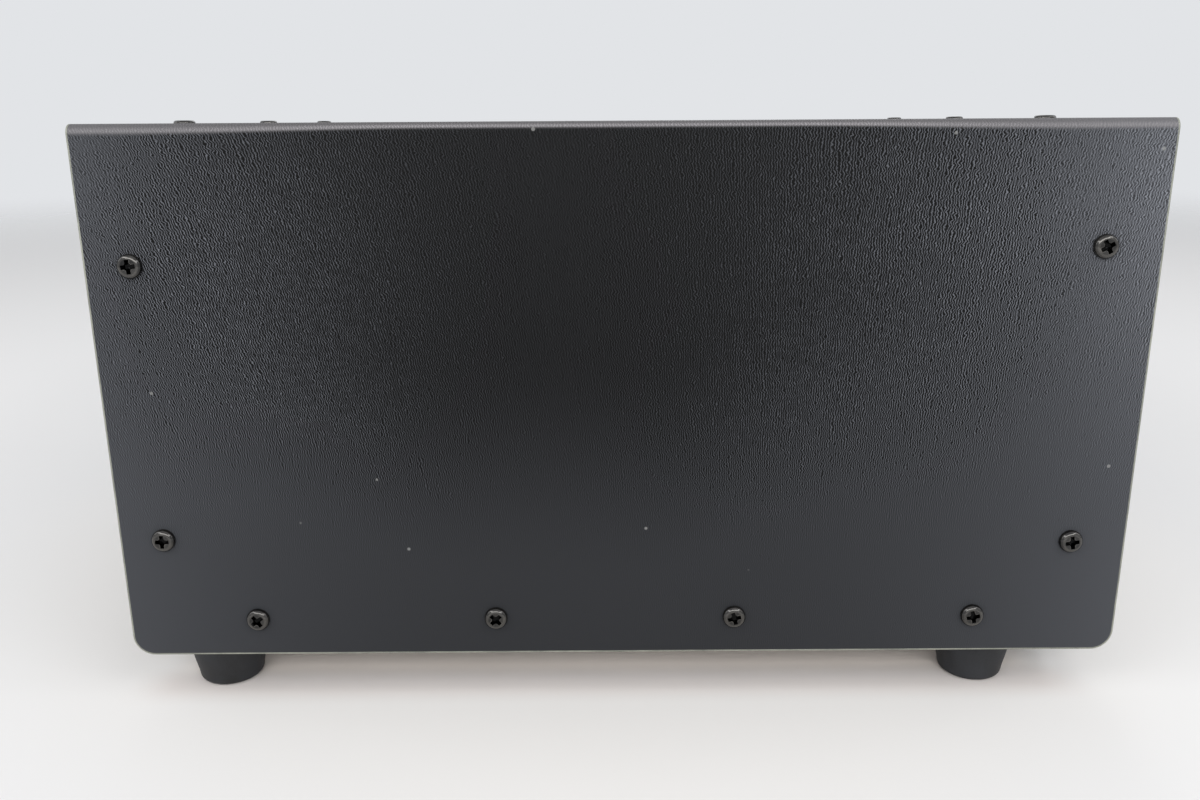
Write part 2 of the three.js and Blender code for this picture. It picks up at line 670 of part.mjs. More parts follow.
// Mains transformer: a laminated core with the winding round its middle leg
function makeTransformer({ x, y, width, stack, height, leg, build }) {
  const windowWidth = leg / 2;
  const windowHeight = height - leg;
  const middle = seatOnFloor + height / 2;
  const core = block(around(0, width), around(0, stack), around(0, height));
  const windows = [-1, 1].map((side) =>
    block(around(side * leg * 0.75, windowWidth), around(0, stack + 2), around(0, windowHeight)));
  addPiece("transformer_core", carve(core, ...windows).translate(x, y, middle), "iron");

  const across = leg + 2 * windowWidth - 2 * clearance;
  const bundle = roundedRectangle(around(0, across), around(0, stack + 2 * build), 14);
  const coil = slab(bundle, "z", around(0, windowHeight - 1), 4);
  const legBore = block(
    around(0, leg + 2 * clearance), around(0, stack + 2 * clearance), around(0, height),
  );
  addPiece("transformer_winding", carve(coil, legBore).translate(x, y, middle), "winding");
}

// Valve deck: a raised bridge with a ring socket for each valve
function makeValveDeck() {
  const top = block(deck.x, deck.y, [deck.top - 1.5, deck.top]);
  const walls = [[deck.x[0], deck.x[0] + 1.5], [deck.x[1] - 1.5, deck.x[1]]].map((xs) =>
    block(xs, deck.y, [seatOnFloor, deck.top - 0.5]));
  const sockets = valvePlaces.map(([x, y]) => {
    const profile = [[23.4, deck.top - 0.5], [27, deck.top - 0.5], [27, deck.top + 8], [23.4, deck.top + 8]];
    return turned([...profile, profile[0]], "z", [x, y, 0], 16);
  });
  addPiece("valve_deck", join(top, ...walls, ...sockets), "zinc");
}

function makeValves() {
  const foot = deck.top + clearance;
  const profile = [
    [0, 0], [22, 0], [22, 14], [29, 22], [30, 70], [25, 86], [12, 97], [6, 100], [6, 104], [14, 104],
    [14, 108], [8, 108], [8, 112], [14, 112], [14, 116], [8, 116], [8, 120], [0, 120],
  ].map(([radius, height]) => [radius, foot + height]);
  valvePlaces.forEach(([x, y], index) => {
    addPiece(`valve_${index + 1}`, turned(profile, "z", [x, y, 0], 14), "valveGlass");
  });
}

function makePlateChoke([x, y]) {
  const foot = deck.top + clearance;
  const profile = [
    [0, 0], [10, 0], [10, 12], [12, 12], [12, 46], [10, 48], [12, 50], [12, 84], [10, 84], [10, 96], [4, 96],
    [4, 102], [0, 102],
  ].map(([radius, height]) => [radius, foot + height]);
  addPiece("plate_choke", turned(profile, "z", [x, y, 0], 10), "ceramic");
}

// Tank coil: bare copper tube wound in the open air, and the bridge that holds it up
class CoilPath extends THREE.Curve {
  getPoint(share) {
    const lead = tankCoil.wire * 2;
    const turnsAngle = tankCoil.turns * 2 * Math.PI;
    const helixLength = turnsAngle * Math.hypot(tankCoil.radius, tankCoil.pitch / (2 * Math.PI));
    const travelled = share * (helixLength + 2 * lead) - lead;
    const within = THREE.MathUtils.clamp(travelled, 0, helixLength);
    const angle = (within / helixLength) * turnsAngle;
    const beyond = travelled - within;
    const slope = beyond / Math.hypot(tankCoil.radius, tankCoil.pitch / (2 * Math.PI));
    return new THREE.Vector3(
      tankCoil.x + (angle / (2 * Math.PI) - tankCoil.turns / 2) * tankCoil.pitch
        + (slope * tankCoil.pitch) / (2 * Math.PI),
      tankCoil.y + tankCoil.radius * (Math.sin(angle) + slope * Math.cos(angle)),
      tankCoil.z + tankCoil.radius * (Math.cos(angle) - slope * Math.sin(angle)),
    );
  }
}

function leastCoilGap(path) {
  const stepsPerTurn = 24;
  const points = path.getPoints(tankCoil.turns * stepsPerTurn);
  let least = Infinity;
  points.forEach((point, index) => {
    for (let other = index + stepsPerTurn / 2; other < points.length; other += 1) {
      least = Math.min(least, point.distanceTo(points[other]));
    }
  });
  return least - 2 * tankCoil.wire;
}

function makeTankCoil() {
  const path = new CoilPath();
  const section = new THREE.Shape(copies(6, 0, Math.PI / 3).map((angle) =>
    new THREE.Vector2(tankCoil.wire * Math.cos(angle), tankCoil.wire * Math.sin(angle))));
  const tube = new THREE.ExtrudeGeometry(section, {
    steps: tankCoil.turns * 22 + 2, extrudePath: path, bevelEnabled: false,
  });
  console.log(`least gap between the coil's turns: ${leastCoilGap(path).toFixed(1)} mm`);
  addPiece("tank_coil", tube, "copper");

  const barTop = tankCoil.z - tankCoil.radius - tankCoil.wire - clearance;
  const reach = tankCoil.turns * tankCoil.pitch / 2 + 8;
  const depth = around(tankCoil.y, 22);
  const posts = [tankCoil.x - reach, tankCoil.x + reach].map((x) =>
    block(around(x, 5), depth, [seatOnFloor, barTop - 1]));
  const bridge = block([tankCoil.x - reach, tankCoil.x + reach], depth, [barTop - 5, barTop]);
  addPiece("coil_bridge", join(...posts, bridge), "ceramic");
}

// Filter board: reservoir capacitors in two rows on a raised circuit board
function makeFilterBoard() {
  const xs = [-165, -42];
  const ys = [238, 343];
  const boardTop = 13.6;
  const board = block(xs, ys, [12, boardTop]);
  const legs = [xs[0] + 6, xs[1] - 6].flatMap((x) =>
    [ys[0] + 6, ys[1] - 6].map((y) => bar(3, [seatOnFloor, 12.5], "z", [x, y, 0], 6)));
  const cans = copies(4, -148.5, 30).flatMap((x) =>
    [264, 317].map((y) => bar(12.5, [boardTop - 0.5, boardTop + 50], "z", [x, y, 0], 10)));
  addPiece("filter_board", join(board, ...legs, ...cans), "circuitBoard");
}

function makeRelay() {
  const box = block([14, 42], [349, 371], [seatOnFloor, seatOnFloor + 30]);
  addPiece("antenna_relay", box, "relayCase");
}

makeCover();
makeCoverScrews();
makeChassis();
makeFeet();
makeFrontPanel();
makeRearPanel();
for (const [name, place] of Object.entries(meterPlaces)) makeMeter(name, place);
for (const [name, place] of Object.entries(tuningPlaces)) {
  makeTuningKnob(name, place);
  makeTuningDial(name, place);
  makeCapacitor(name, place, capacitors[name]);
}
makeBandSwitch(bandPlace);
for (const [name, place] of Object.entries(rockerPlaces)) makeRocker(name, place);
makeLamp(lampPlace);
makeFan(fanPlace);
for (const [name, place] of Object.entries(socketPlaces)) makeCoaxialSocket(name, place);
makePhonoJacks(phonoPlace);
makeGroundTerminal(groundPlace);
makeFuse(fusePlace);
makeMainsInlet(inletPlace);
makeTransformer(transformer);
makeValveDeck();
makeValves();
makePlateChoke(chokePlace);
makeTankCoil();
makeFilterBoard();
makeRelay();

// The origin is under the middle of the footprint, from the knobs to the sockets.
amplifier.position.set(0, (knobReach - connectorReach - coverDepth) / 2, footHeight);

export default amplifier;
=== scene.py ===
import math
import random

import bmesh
import bpy
from mathutils import Matrix, Vector


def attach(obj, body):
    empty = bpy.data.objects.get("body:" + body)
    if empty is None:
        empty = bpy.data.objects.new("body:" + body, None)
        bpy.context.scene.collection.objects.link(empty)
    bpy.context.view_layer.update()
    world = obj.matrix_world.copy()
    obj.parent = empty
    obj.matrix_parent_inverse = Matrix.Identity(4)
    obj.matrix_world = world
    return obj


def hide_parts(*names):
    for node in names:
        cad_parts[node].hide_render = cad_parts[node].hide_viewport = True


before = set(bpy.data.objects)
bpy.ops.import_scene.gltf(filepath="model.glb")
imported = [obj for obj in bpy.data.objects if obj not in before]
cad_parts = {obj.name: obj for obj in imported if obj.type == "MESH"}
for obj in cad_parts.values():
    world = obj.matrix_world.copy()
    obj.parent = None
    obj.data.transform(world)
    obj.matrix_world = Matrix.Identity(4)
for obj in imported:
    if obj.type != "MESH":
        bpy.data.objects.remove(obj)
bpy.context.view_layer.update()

pi = math.pi

# Everything is drawn in case millimetres: x across, y back from the cover's front edge, z up from
# the cover's lower edge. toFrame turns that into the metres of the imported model.
footHeight = 17.5
toFrame = Matrix.Scale(0.001, 4) @ Matrix.Translation((0, -185, footHeight))


def addObject(name, data):
    made = bpy.data.objects.new(name, data)
    bpy.context.scene.collection.objects.link(made)
    return made


def pick(shape, keys):
    return [shape[key] for key in keys.split()]


def linear(hexCode):
    # a colour as it looks on screen, to the linear values that the shaders take
    values = [int(hexCode[i:i + 2], 16) / 255 for i in (0, 2, 4)]
    return tuple(v / 12.92 if v < 0.04045 else ((v + 0.055) / 1.055) ** 2.4 for v in values) + (1.0,)


# Node tools

class Value:
    # a node's output that can stand in a sum, where each step adds a Math node
    def __init__(self, socket):
        self.socket, self.tree = socket, socket.id_data

    def __add__(self, other):
        return maths("ADD", self, other)

    def __sub__(self, other):
        return maths("SUBTRACT", self, other)

    def __rsub__(self, other):
        return maths("SUBTRACT", other, self)

    def __mul__(self, other):
        return maths("MULTIPLY", self, other)

    def __truediv__(self, other):
        return maths("DIVIDE", self, other)

    def __pow__(self, other):
        return maths("POWER", self, other)

    def __abs__(self):
        return maths("ABSOLUTE", self)


class Outputs:
    def __init__(self, node):
        self.sockets = node.outputs

    def __getitem__(self, key):
        return Value(self.sockets[key])


def join(given, socket):
    # links the socket to a value or to each of a list, or else sets it
    for one in given if isinstance(given, list) else [given]:
        if isinstance(one, Value):
            one.tree.links.new(one.socket, socket)
        else:
            socket.default_value = one


def add(tree, kind, inputs=None, **settings):
    made = tree.nodes.new(kind)
    for key, value in settings.items():
        setattr(made, key, value)
    for name, given in (inputs or {}).items():
        join(given, made.inputs[name])
    return Outputs(made)


def treeOf(*given):
    return next(one.tree for one in given if isinstance(one, Value))


def maths(operation, first, second=0.0, clamp=False):
    return add(treeOf(first, second), "ShaderNodeMath", {0: first, 1: second}, operation=operation, use_clamp=clamp)[0]


def ramp(value, fromLow, fromHigh, toLow=0.0, toHigh=1.0, smooth=True):
    given = {"Value": value, "From Min": fromLow, "From Max": fromHigh, "To Min": toLow, "To Max": toHigh}
    kind = "SMOOTHSTEP" if smooth else "LINEAR"
    return add(value.tree, "ShaderNodeMapRange", given, clamp=True, interpolation_type=kind)["Result"]


def mix(share, first, second):
    # a colour between two, each a value or a code
    first, second = (linear(one) if isinstance(one, str) else one for one in (first, second))
    return add(share.tree, "ShaderNodeMix", {0: share, 6: first, 7: second}, data_type="RGBA", clamp_factor=True)[2]


def vectors(operation, first, second):
    return add(treeOf(first, second), "ShaderNodeVectorMath", {0: first, 1: second}, operation=operation)[0]


def scaled(vector, factor):
    return add(treeOf(vector, factor), "ShaderNodeVectorMath", {0: vector, "Scale": factor}, operation="SCALE")[0]


def lengthOf(vector):
    return add(vector.tree, "ShaderNodeVectorMath", {0: vector}, operation="LENGTH")["Value"]


def placeOf(tree):
    return add(tree, "ShaderNodeTexCoord")["Object"]


def axesOf(vector):
    parts = add(vector.tree, "ShaderNodeSeparateXYZ", {0: vector})
    return parts["X"], parts["Y"], parts["Z"]


def vectorOf(x, y=0.0, z=0.0):
    return add(treeOf(x, y, z), "ShaderNodeCombineXYZ", {0: x, 1: y, 2: z})[0]


def noise(place, scale, detail, roughness=0.5):
    return add(place.tree, "ShaderNodeTexNoise", {
        "Vector": place, "Scale": scale, "Detail": detail, "Roughness": roughness})


# Camera, floor and light

cameraShot = {
    "place": (0.5398, -0.0029, 0.2176),
    "pitch": 15.04,        # degrees down from the horizon
    "roll": 0.357,
    "lens": 31.05,
    "sensor": 36.0,
    "clip": (0.01, 50),
}


def setUpCamera(shot):
    pitch, roll = math.radians(shot["pitch"]), math.radians(shot["roll"])
    ahead = Vector((-math.cos(pitch), 0, -math.sin(pitch)))
    level = Vector((0, 1, 0))
    above = level.cross(ahead)
    right = level * math.cos(roll) - above * math.sin(roll)
    top = right.cross(ahead)
    data = bpy.data.cameras.new("photoCamera")
    data.lens, data.sensor_width = shot["lens"], shot["sensor"]
    data.clip_start, data.clip_end = shot["clip"]
    camera = addObject("photoCamera", data)
    turn = Matrix((right, top, -ahead)).transposed().to_4x4()
    camera.matrix_world = Matrix.Translation(shot["place"]) @ turn
    bpy.context.scene.camera = camera


stageLook = {
    # the floor is painted lighter near the case than far off, a painted pool of light
    "floorColour": "edebe9",
    "farColour": "e3e3e4",
    # painted on the floor under the case: a warm, lighter colour that lifts its shade, and a painted shadow along the
    # rim of that shade
    "shadedColour": "fff5ec",      # the card below the case
    "borderColour": "dfd9d6",      # and the border of its shade
    "backColour": "e2e4e7",
    "floorRadius": 4.0,
    "fade": (0.9, 3.4),
    "ambient": 0.6,
    "lamps": [
        # name, place, aims at, size, watts
        ("overheadPanel", (0.6, 0, 1.7), (0.25, 0, 0), (1.8, 1.8), 2.0),
        ("rightPanel", (1.4, 0, 0.72), (0.16, 0, 0.02), (1.8, 0.45), 11.0),
        ("highFrontLight", (1.0, -1.0, 1.1), (0.17, 0, 0.1), (0.7, 0.2), 4.0),
        ("highRearLight", (1.0, 1.0, 1.1), (0.17, 0, 0.1), (0.7, 0.2), 4.0),
        ("leftPanel", (-1.3, 0.2, 1.2), (0, 0, 0.1), (1.0, 1.0), 4.0),
        ("frontPanelLight", (0.2, -1.5, 1.0), (0, 0, 0.1), (1.0, 1.0), 4.5),
        ("rearPanelLight", (0.1, 1.5, 1.0), (0, 0, 0.1), (1.0, 1.0), 4.0),
    ],
}


def emptyTree(owner):
    owner.use_nodes = True
    owner.node_tree.nodes.clear()
    return owner.node_tree


def setUpRoom(look):
    world = bpy.data.worlds.new("paleRoom")
    bpy.context.scene.world = world
    tree = emptyTree(world)
    path = add(tree, "ShaderNodeLightPath")
    seen = maths("MAXIMUM", path["Is Camera Ray"], path["Is Glossy Ray"])
    seen = maths("MAXIMUM", seen, path["Is Transmission Ray"])
    room = add(tree, "ShaderNodeBackground", {"Color": (1, 1, 1, 1), "Strength": look["ambient"]})[0]
    back = add(tree, "ShaderNodeBackground", {"Color": linear(look["backColour"]), "Strength": 1.0})[0]
    add(tree, "ShaderNodeOutputWorld", {"Surface": add(tree, "ShaderNodeMixShader", {0: seen, 1: room, 2: back})[0]})


def floorCard(look):
    material = bpy.data.materials.new("floorCard")
    tree = emptyTree(material)
    place = placeOf(tree)
    reach = lengthOf(place)
    x, y = (abs(way) for way in axesOf(place)[:2])
    # a painted pool of light: lighter near the case, darker far off
    colour = mix(ramp(reach, 0.2, 0.36), look["floorColour"], look["farColour"])
    # painted light under the case, a warm lighter colour that lifts the shade there
    colour = mix(ramp(x, 0.18, 0.15) * ramp(y, 0.185, 0.155), colour, look["shadedColour"])
    # a painted shadow along the rim of the case's shade
    paintedShadow = ramp(x, 0.152, 0.165) * ramp(x, 0.184, 0.168) * ramp(y, 0.195, 0.17)
    colour = mix(paintedShadow, colour, look["borderColour"])
    card = add(tree, "ShaderNodeBsdfPrincipled",
               {"Base Color": colour, "Roughness": 0.75, "Specular IOR Level": 0.2})[0]
    clear = add(tree, "ShaderNodeBsdfTransparent")[0]
    both = add(tree, "ShaderNodeMixShader", {0: ramp(reach, *look["fade"]), 1: card, 2: clear})[0]
    add(tree, "ShaderNodeOutputMaterial", {"Surface": both})
    return material


def setUpStage(look):
    setUpRoom(look)
    bpy.ops.mesh.primitive_circle_add(vertices=96, radius=look["floorRadius"], fill_type="NGON")
    floor = bpy.context.object
    floor.name = "studioFloor"
    floor.data.materials.append(floorCard(look))
    for name, place, aim, size, watts in look["lamps"]:
        data = bpy.data.lights.new(name, "AREA")
        data.shape = "RECTANGLE"
        data.size, data.size_y = size
        data.energy = watts
        lamp = addObject(name, data)
        lamp.location = place
        lamp.rotation_mode = "QUATERNION"
        lamp.rotation_quaternion = (Vector(aim) - Vector(place)).to_track_quat("-Z", "Y")
        lamp.visible_camera = False
    bpy.context.scene.view_settings.view_transform = "Standard"


setUpCamera(cameraShot)
setUpStage(stageLook)
print("camera, floor and lamps are up")


# Shader groups that several finishes share

def socketKind(value):
    # a word names the kind itself
    kinds = {float: "Float", int: "Int", tuple: "Vector"}
    return "NodeSocket" + (value if isinstance(value, str) else kinds[type(value)])


def addInputs(tree, inputs):
    for name, value in inputs.items():
        socket = tree.interface.new_socket(name.replace("_", " "), in_out="INPUT", socket_type=socketKind(value))
        if not isinstance(value, str):
            socket.default_value = value
    return add(tree, "NodeGroupInput")


def newGroup(name, **inputs):
    group = bpy.data.node_groups.new(name, "ShaderNodeTree")
    return group, addInputs(group, inputs)


def endGroup(group, **results):
    for label in results:
        group.interface.new_socket(label, in_out="OUTPUT", socket_type="NodeSocketFloat")
    add(group, "NodeGroupOutput", results)
    return group


def useGroup(tree, group, **values):
    return add(tree, "ShaderNodeGroup", values, node_tree=group)


def makeSpeckle():
    # mottled tone and a fine height, for mouldings, paint and castings
    tree, given = newGroup("speckle", Scale=900.0, Broad=40.0)
    place = placeOf(tree)
    fine = noise(place, given["Scale"], 3.0, 0.6)[0]
    broad = noise(place, given["Broad"], 3.0, 0.55)[0]
    return endGroup(tree, Tone=ramp(fine * 0.35 + broad * 0.65, 0.3, 0.7), Height=fine)


def makeBrushing():
    # fine lines drawn along one axis of the case
    tree, given = newGroup("brushing", Across=(30.0, 2500.0, 2500.0))
    lines = noise(vectors("MULTIPLY", placeOf(tree), given["Across"]), 1.0, 4.0, 0.65)[0]
    return endGroup(tree, Tone=ramp(lines, 0.3, 0.7), Height=lines)


def makeEdgeWear():
    # a mask of the outer edges, broken up so that it looks rubbed
    tree, given = newGroup("edgeWear", Radius=0.0006, Amount=0.6, Breakup=350.0)
    soft = add(tree, "ShaderNodeBevel", {"Radius": given["Radius"]}, samples=4)[0]
    flat = add(tree, "ShaderNodeNewGeometry")["Normal"]
    same = add(tree, "ShaderNodeVectorMath", {0: soft, 1: flat}, operation="DOT_PRODUCT")["Value"]
    rub = noise(placeOf(tree), given["Breakup"], 3.0)[0]
    return endGroup(tree, Mask=ramp(same, 0.995, 0.86) * ramp(rub, 0.42, 0.6) * given["Amount"])


def makeDust():
    # what settles on faces that look up, in soft patches with a few specks
    tree, given = newGroup("dust", Amount=0.2, Scale=60.0)
    place = placeOf(tree)
    facing = axesOf(add(tree, "ShaderNodeNewGeometry")["Normal"])[2]
    patches = noise(place, given["Scale"], 5.0, 0.7)[0]
    specks = add(tree, "ShaderNodeTexVoronoi", {"Vector": place, "Scale": given["Scale"] * 1.6})
    few = maths("GREATER_THAN", add(tree, "ShaderNodeSeparateColor", {0: specks["Color"]})[0], 0.6)
    fallen = ramp(facing, 0.1, 0.9) * ramp(patches, 0.4, 0.75)
    dots = ramp(specks["Distance"], 0.032, 0.018) * few
    return endGroup(tree, Mask=maths("MAXIMUM", fallen, dots) * given["Amount"], Specks=dots)


speckle = makeSpeckle()
brushing = makeBrushing()
edgeWear = makeEdgeWear()
dust = makeDust()
dustColour = "a9a7a2"


def dress(tree, **values):
    # links or sets sockets of a finish's shader, with _ for each space in a name
    sockets = tree.nodes["Principled BSDF"].inputs
    for name, given in values.items():
        join(given, sockets[name.replace("_", " ")])


def newFinish(name, **values):
    material = bpy.data.materials.new(name)
    material.use_nodes = True
    dress(material.node_tree, **values)
    return material, material.node_tree


def bumped(height, strength, distance):
    return add(height.tree, "ShaderNodeBump", {"Height": height, "Strength": strength, "Distance": distance})[0]


def dusted(colour, amount):
    return mix(useGroup(colour.tree, dust, Amount=amount)["Mask"], colour, dustColour) if amount else colour


def moulded(name, dark, light, rough, scale, broad, bump, metallic=0.0, depth=0.0002, wear=0.0, worn="8a8a88",
            dusty=0.0, level=0.5, sunk=None, **fixed):
    # speckled moulding, paint, rubber or casting, with rubbed edges and a little dust
    material, tree = newFinish(name, Metallic=metallic, Specular_IOR_Level=level, **fixed)
    grain = useGroup(tree, speckle, Scale=scale, Broad=broad)
    colour = mix(grain["Tone"], dark, light)
    if wear:
        colour = mix(useGroup(tree, edgeWear, Amount=wear)["Mask"], colour, worn)
    colour = dusted(colour, dusty)
    if sunk:
        # screws only: a painted dark reflection on the crown, a painted highlight ring on the shoulder in the worn
        # colour and painted shade in the cross
        crown, marked = (add(tree, "ShaderNodeAttribute", attribute_name=word)["Fac"] for word in ("crown", "sunk"))
        colour = mix(ramp(crown, 0.5, 0.75, 0.35, 0.0), colour, "0c0c0c")
        colour = mix(ramp(crown, 0.6, 0.68) * ramp(crown, 0.86, 0.76) * 0.1, colour, worn)
        colour = mix(marked, colour, sunk)
        dress(tree, Coat_Weight=ramp(marked, 0, 1, 0.6, 0.03))
    dress(tree, Base_Color=colour, Roughness=ramp(grain["Tone"], 0, 1, *rough),
          Normal=bumped(grain["Height"], bump, depth))
    return material


def brushed(name, dark, light, across, rough, bump, dusty=0.0):
    material, tree = newFinish(name, Metallic=1.0)
    lines = useGroup(tree, brushing, Across=across)
    grain = useGroup(tree, speckle, Scale=500.0, Broad=18.0)["Tone"]
    dress(tree, Base_Color=dusted(mix(lines["Tone"] * grain, dark, light), dusty),
          Roughness=ramp(lines["Tone"], 0, 1, *rough), Normal=bumped(lines["Height"], bump, 0.0001))
    return material


# Mesh tools

def editMesh(mesh, work):
    shell = bmesh.new()
    shell.from_mesh(mesh)
    work(shell)
    bmesh.ops.recalc_face_normals(shell, faces=shell.faces)
    shell.to_mesh(mesh)
    shell.free()


def closeSeams(shell):
    bmesh.ops.remove_doubles(shell, verts=shell.verts, dist=1e-4)


def closePoles(shell):
    closeSeams(shell)
    bmesh.ops.dissolve_degenerate(shell, edges=shell.edges, dist=1e-5)


def tidy(piece):
    # closes seams, drops the empty faces that a pole leaves, and turns the faces outwards
    editMesh(piece.data, closePoles)


def shade(piece, angle):
    # smooth faces that stay crisp where they meet at more than angle degrees
    piece.data.polygons.foreach_set("use_smooth", [True] * len(piece.data.polygons))
    piece.data.set_sharp_from_angle(angle=math.radians(angle))


def newObject(vertices, faces):
    mesh = bpy.data.meshes.new("piece")
    mesh.from_pydata([tuple(v) for v in vertices], [], faces)
    editMesh(mesh, closeSeams)
    return addObject("piece", mesh)


def turned(profile, centre=(0, 0, 0), sides=64, smooth=35, axis="y"):
    # a lathe piece: profile holds (radius, distance along the axis)
    closed = profile[0] == profile[-1]
    rings = profile[:-1] if closed else profile
    angles = [2 * pi * step / sides for step in range(sides)]
    faces = []
    for ring in range(len(rings) if closed else len(rings) - 1):
        low, high = ring * sides, (ring + 1) % len(rings) * sides
        for step in range(sides):
            ahead = (step + 1) % sides
            faces.append((low + step, low + ahead, high + ahead, high + step))
    stand = Matrix(((1, 0, 0, 0), (0, 0, 1, 0), (0, 1, 0, 0), (0, 0, 0, 1))) if axis == "y" else Matrix.Identity(4)
    place = Matrix.Translation(centre) @ stand
    made = newObject([place @ Vector((radius * math.cos(angle), radius * math.sin(angle), along))
                      for radius, along in rings for angle in angles], faces)
    tidy(made)
    shade(made, smooth)
    return made


def slab(outline, span, axis="y"):
    # a flat outline pushed along an axis: x takes (y, z), y takes (x, z) and z takes (x, y)
    at, count = "xyz".index(axis), len(outline)
    vertices = [(*point[:at], level, *point[at:]) for level in span for point in outline]
    faces = [tuple(range(count)), tuple(range(2 * count - 1, count - 1, -1))]
    faces += [(i, (i + 1) % count, count + (i + 1) % count, count + i) for i in range(count)]
    return newObject(vertices, faces)


def block(xs, ys, zs):
    return slab([(xs[0], ys[0]), (xs[1], ys[0]), (xs[1], ys[1]), (xs[0], ys[1])], zs, "z")


def around(middle, size):
    return (middle - size / 2, middle + size / 2)


def arc(centre, radius, start, end, steps):
    angles = [start + (end - start) * i / steps for i in range(steps + 1)]
    return [(centre[0] + radius * math.cos(a), centre[1] + radius * math.sin(a)) for a in angles]


def curve(first, pull, last, steps):
    # from first to last, drawn towards pull
    shares = [i / steps for i in range(steps + 1)]
    return [tuple(a * (1 - t) ** 2 + 2 * b * t * (1 - t) + c * t * t for a, b, c in zip(first, pull, last))
            for t in shares]


def rounded(xs, zs, radius, steps=6):
    # the outline of a rectangle with round corners
    left, right = xs[0] + radius, xs[1] - radius
    low, high = zs[0] + radius, zs[1] - radius
    corners = ((right, low), (right, high), (left, high), (left, low))
    return [point for i, corner in enumerate(corners)
            for point in arc(corner, radius, (i - 1) * pi / 2, i * pi / 2, steps)]


def plate(middle, size, corner, span, steps=6, axis="y"):
    # a slab whose outline is such a rectangle
    return slab(rounded(around(middle[0], size[0]), around(middle[1], size[1]), corner, steps), span, axis)


def hole(radius, middle, span, sides=48):
    return slab(arc(middle, radius, 0, 2 * pi * (1 - 1 / sides), sides - 1), span)


def asMesh(piece):
    # takes the piece's modifiers into its mesh
    bpy.context.view_layer.update()
    graph = bpy.context.evaluated_depsgraph_get()
    mesh = bpy.data.meshes.new_from_object(piece.evaluated_get(graph))
    piece.modifiers.clear()
    piece.data = mesh
    return piece


def combine(piece, others, operation="DIFFERENCE"):
    for index, other in enumerate(others):
        step = piece.modifiers.new(f"step{index}", "BOOLEAN")
        step.operation = operation
        step.solver = "EXACT"
        step.object = other
    asMesh(piece)
    for other in others:
        bpy.data.objects.remove(other)
    return piece


def bevel(piece, width, segments=2, angle=35):
    step = piece.modifiers.new("rounding", "BEVEL")
    step.width = width
    step.segments = segments
    step.limit_method = "ANGLE"
    step.angle_limit = math.radians(angle)
    step.use_clamp_overlap = True
    step.harden_normals = False
    asMesh(piece)
    shade(piece, 32)
    return piece


def merge(pieces):
    # several closed shapes as one object
    shell = bmesh.new()
    for piece in pieces:
        shell.from_mesh(piece.data)
        bpy.data.objects.remove(piece)
    mesh = bpy.data.meshes.new("merged")
    shell.to_mesh(mesh)
    shell.free()
    return addObject("merged", mesh)


def moved(piece, x=0, y=0, z=0, turn=None):
    piece.data.transform(Matrix.Translation((x, y, z)) @ (turn or Matrix.Identity(4)))
    return piece


def mount(piece, name, material, slot=None, *replaces, body="case"):
    # names a finished piece, puts it in the frame's metres and lets it ride
    piece.data.transform(toFrame)
    piece.name = name
    piece.data.name = name
    if material is not None:
        piece.data.materials.clear()
        piece.data.materials.append(material)
    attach(piece, body)
    if replaces:
        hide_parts(*replaces)
    return piece


# Geometry node tools, where a shaper is a group that grow runs on an object

def newShaper(name, **inputs):
    tree = bpy.data.node_groups.new(name, "GeometryNodeTree")
    given = addInputs(tree, {"Geometry": "Geometry", **inputs, "Material": "Material"})
    tree.interface.new_socket("Geometry", in_out="OUTPUT", socket_type="NodeSocketGeometry")
    return tree, given


def endShaper(tree, geometry, given):
    real = add(tree, "GeometryNodeRealizeInstances", {0: geometry})[0]
    add(tree, "NodeGroupOutput", {0: add(tree, "GeometryNodeSetMaterial", {
        "Geometry": real, "Material": given["Material"]})[0]})
    return tree


def grow(base, tree, **values):
    # runs a shaper on base and keeps the result as a plain mesh
    step = base.modifiers.new(tree.name, "NODES")
    step.node_group = tree
    for item in tree.interface.items_tree:
        name = item.name.replace(" ", "_")
        if item.item_type == "SOCKET" and item.in_out == "INPUT" and name in values:
            step[item.identifier] = values[name]
    asMesh(base)
    if "Material" in values:
        base.data.polygons.foreach_set("material_index", [0] * len(base.data.polygons))
        base.data.materials.clear()
        base.data.materials.append(values["Material"])
    return base


def pathOf(points, edges=()):
    mesh = bpy.data.meshes.new("path")
    mesh.from_pydata([tuple(point) for point in points], edges, [])
    return addObject("path", mesh)


def seedPoint():
    return pathOf([(0, 0, 0)])


def onPoints(points, piece, **more):
    return add(points.tree, "GeometryNodeInstanceOnPoints", {"Points": points, "Instance": piece, **more})[0]


def shapeOf(thing):
    # the shape of the object that a socket names
    return add(thing.tree, "GeometryNodeObjectInfo", {"Object": thing})["Geometry"]


def turnAbout(tree, axis, angle):
    return add(tree, "FunctionNodeAxisAngleToRotation", {"Axis": axis, "Angle": angle})[0]


def turnBoth(first, second):
    return add(first.tree, "FunctionNodeRotateRotation", {"Rotation": first, "Rotate By": second},
               rotation_space="LOCAL")[0]


# The cover: a bent steel sheet with a grained black film outside

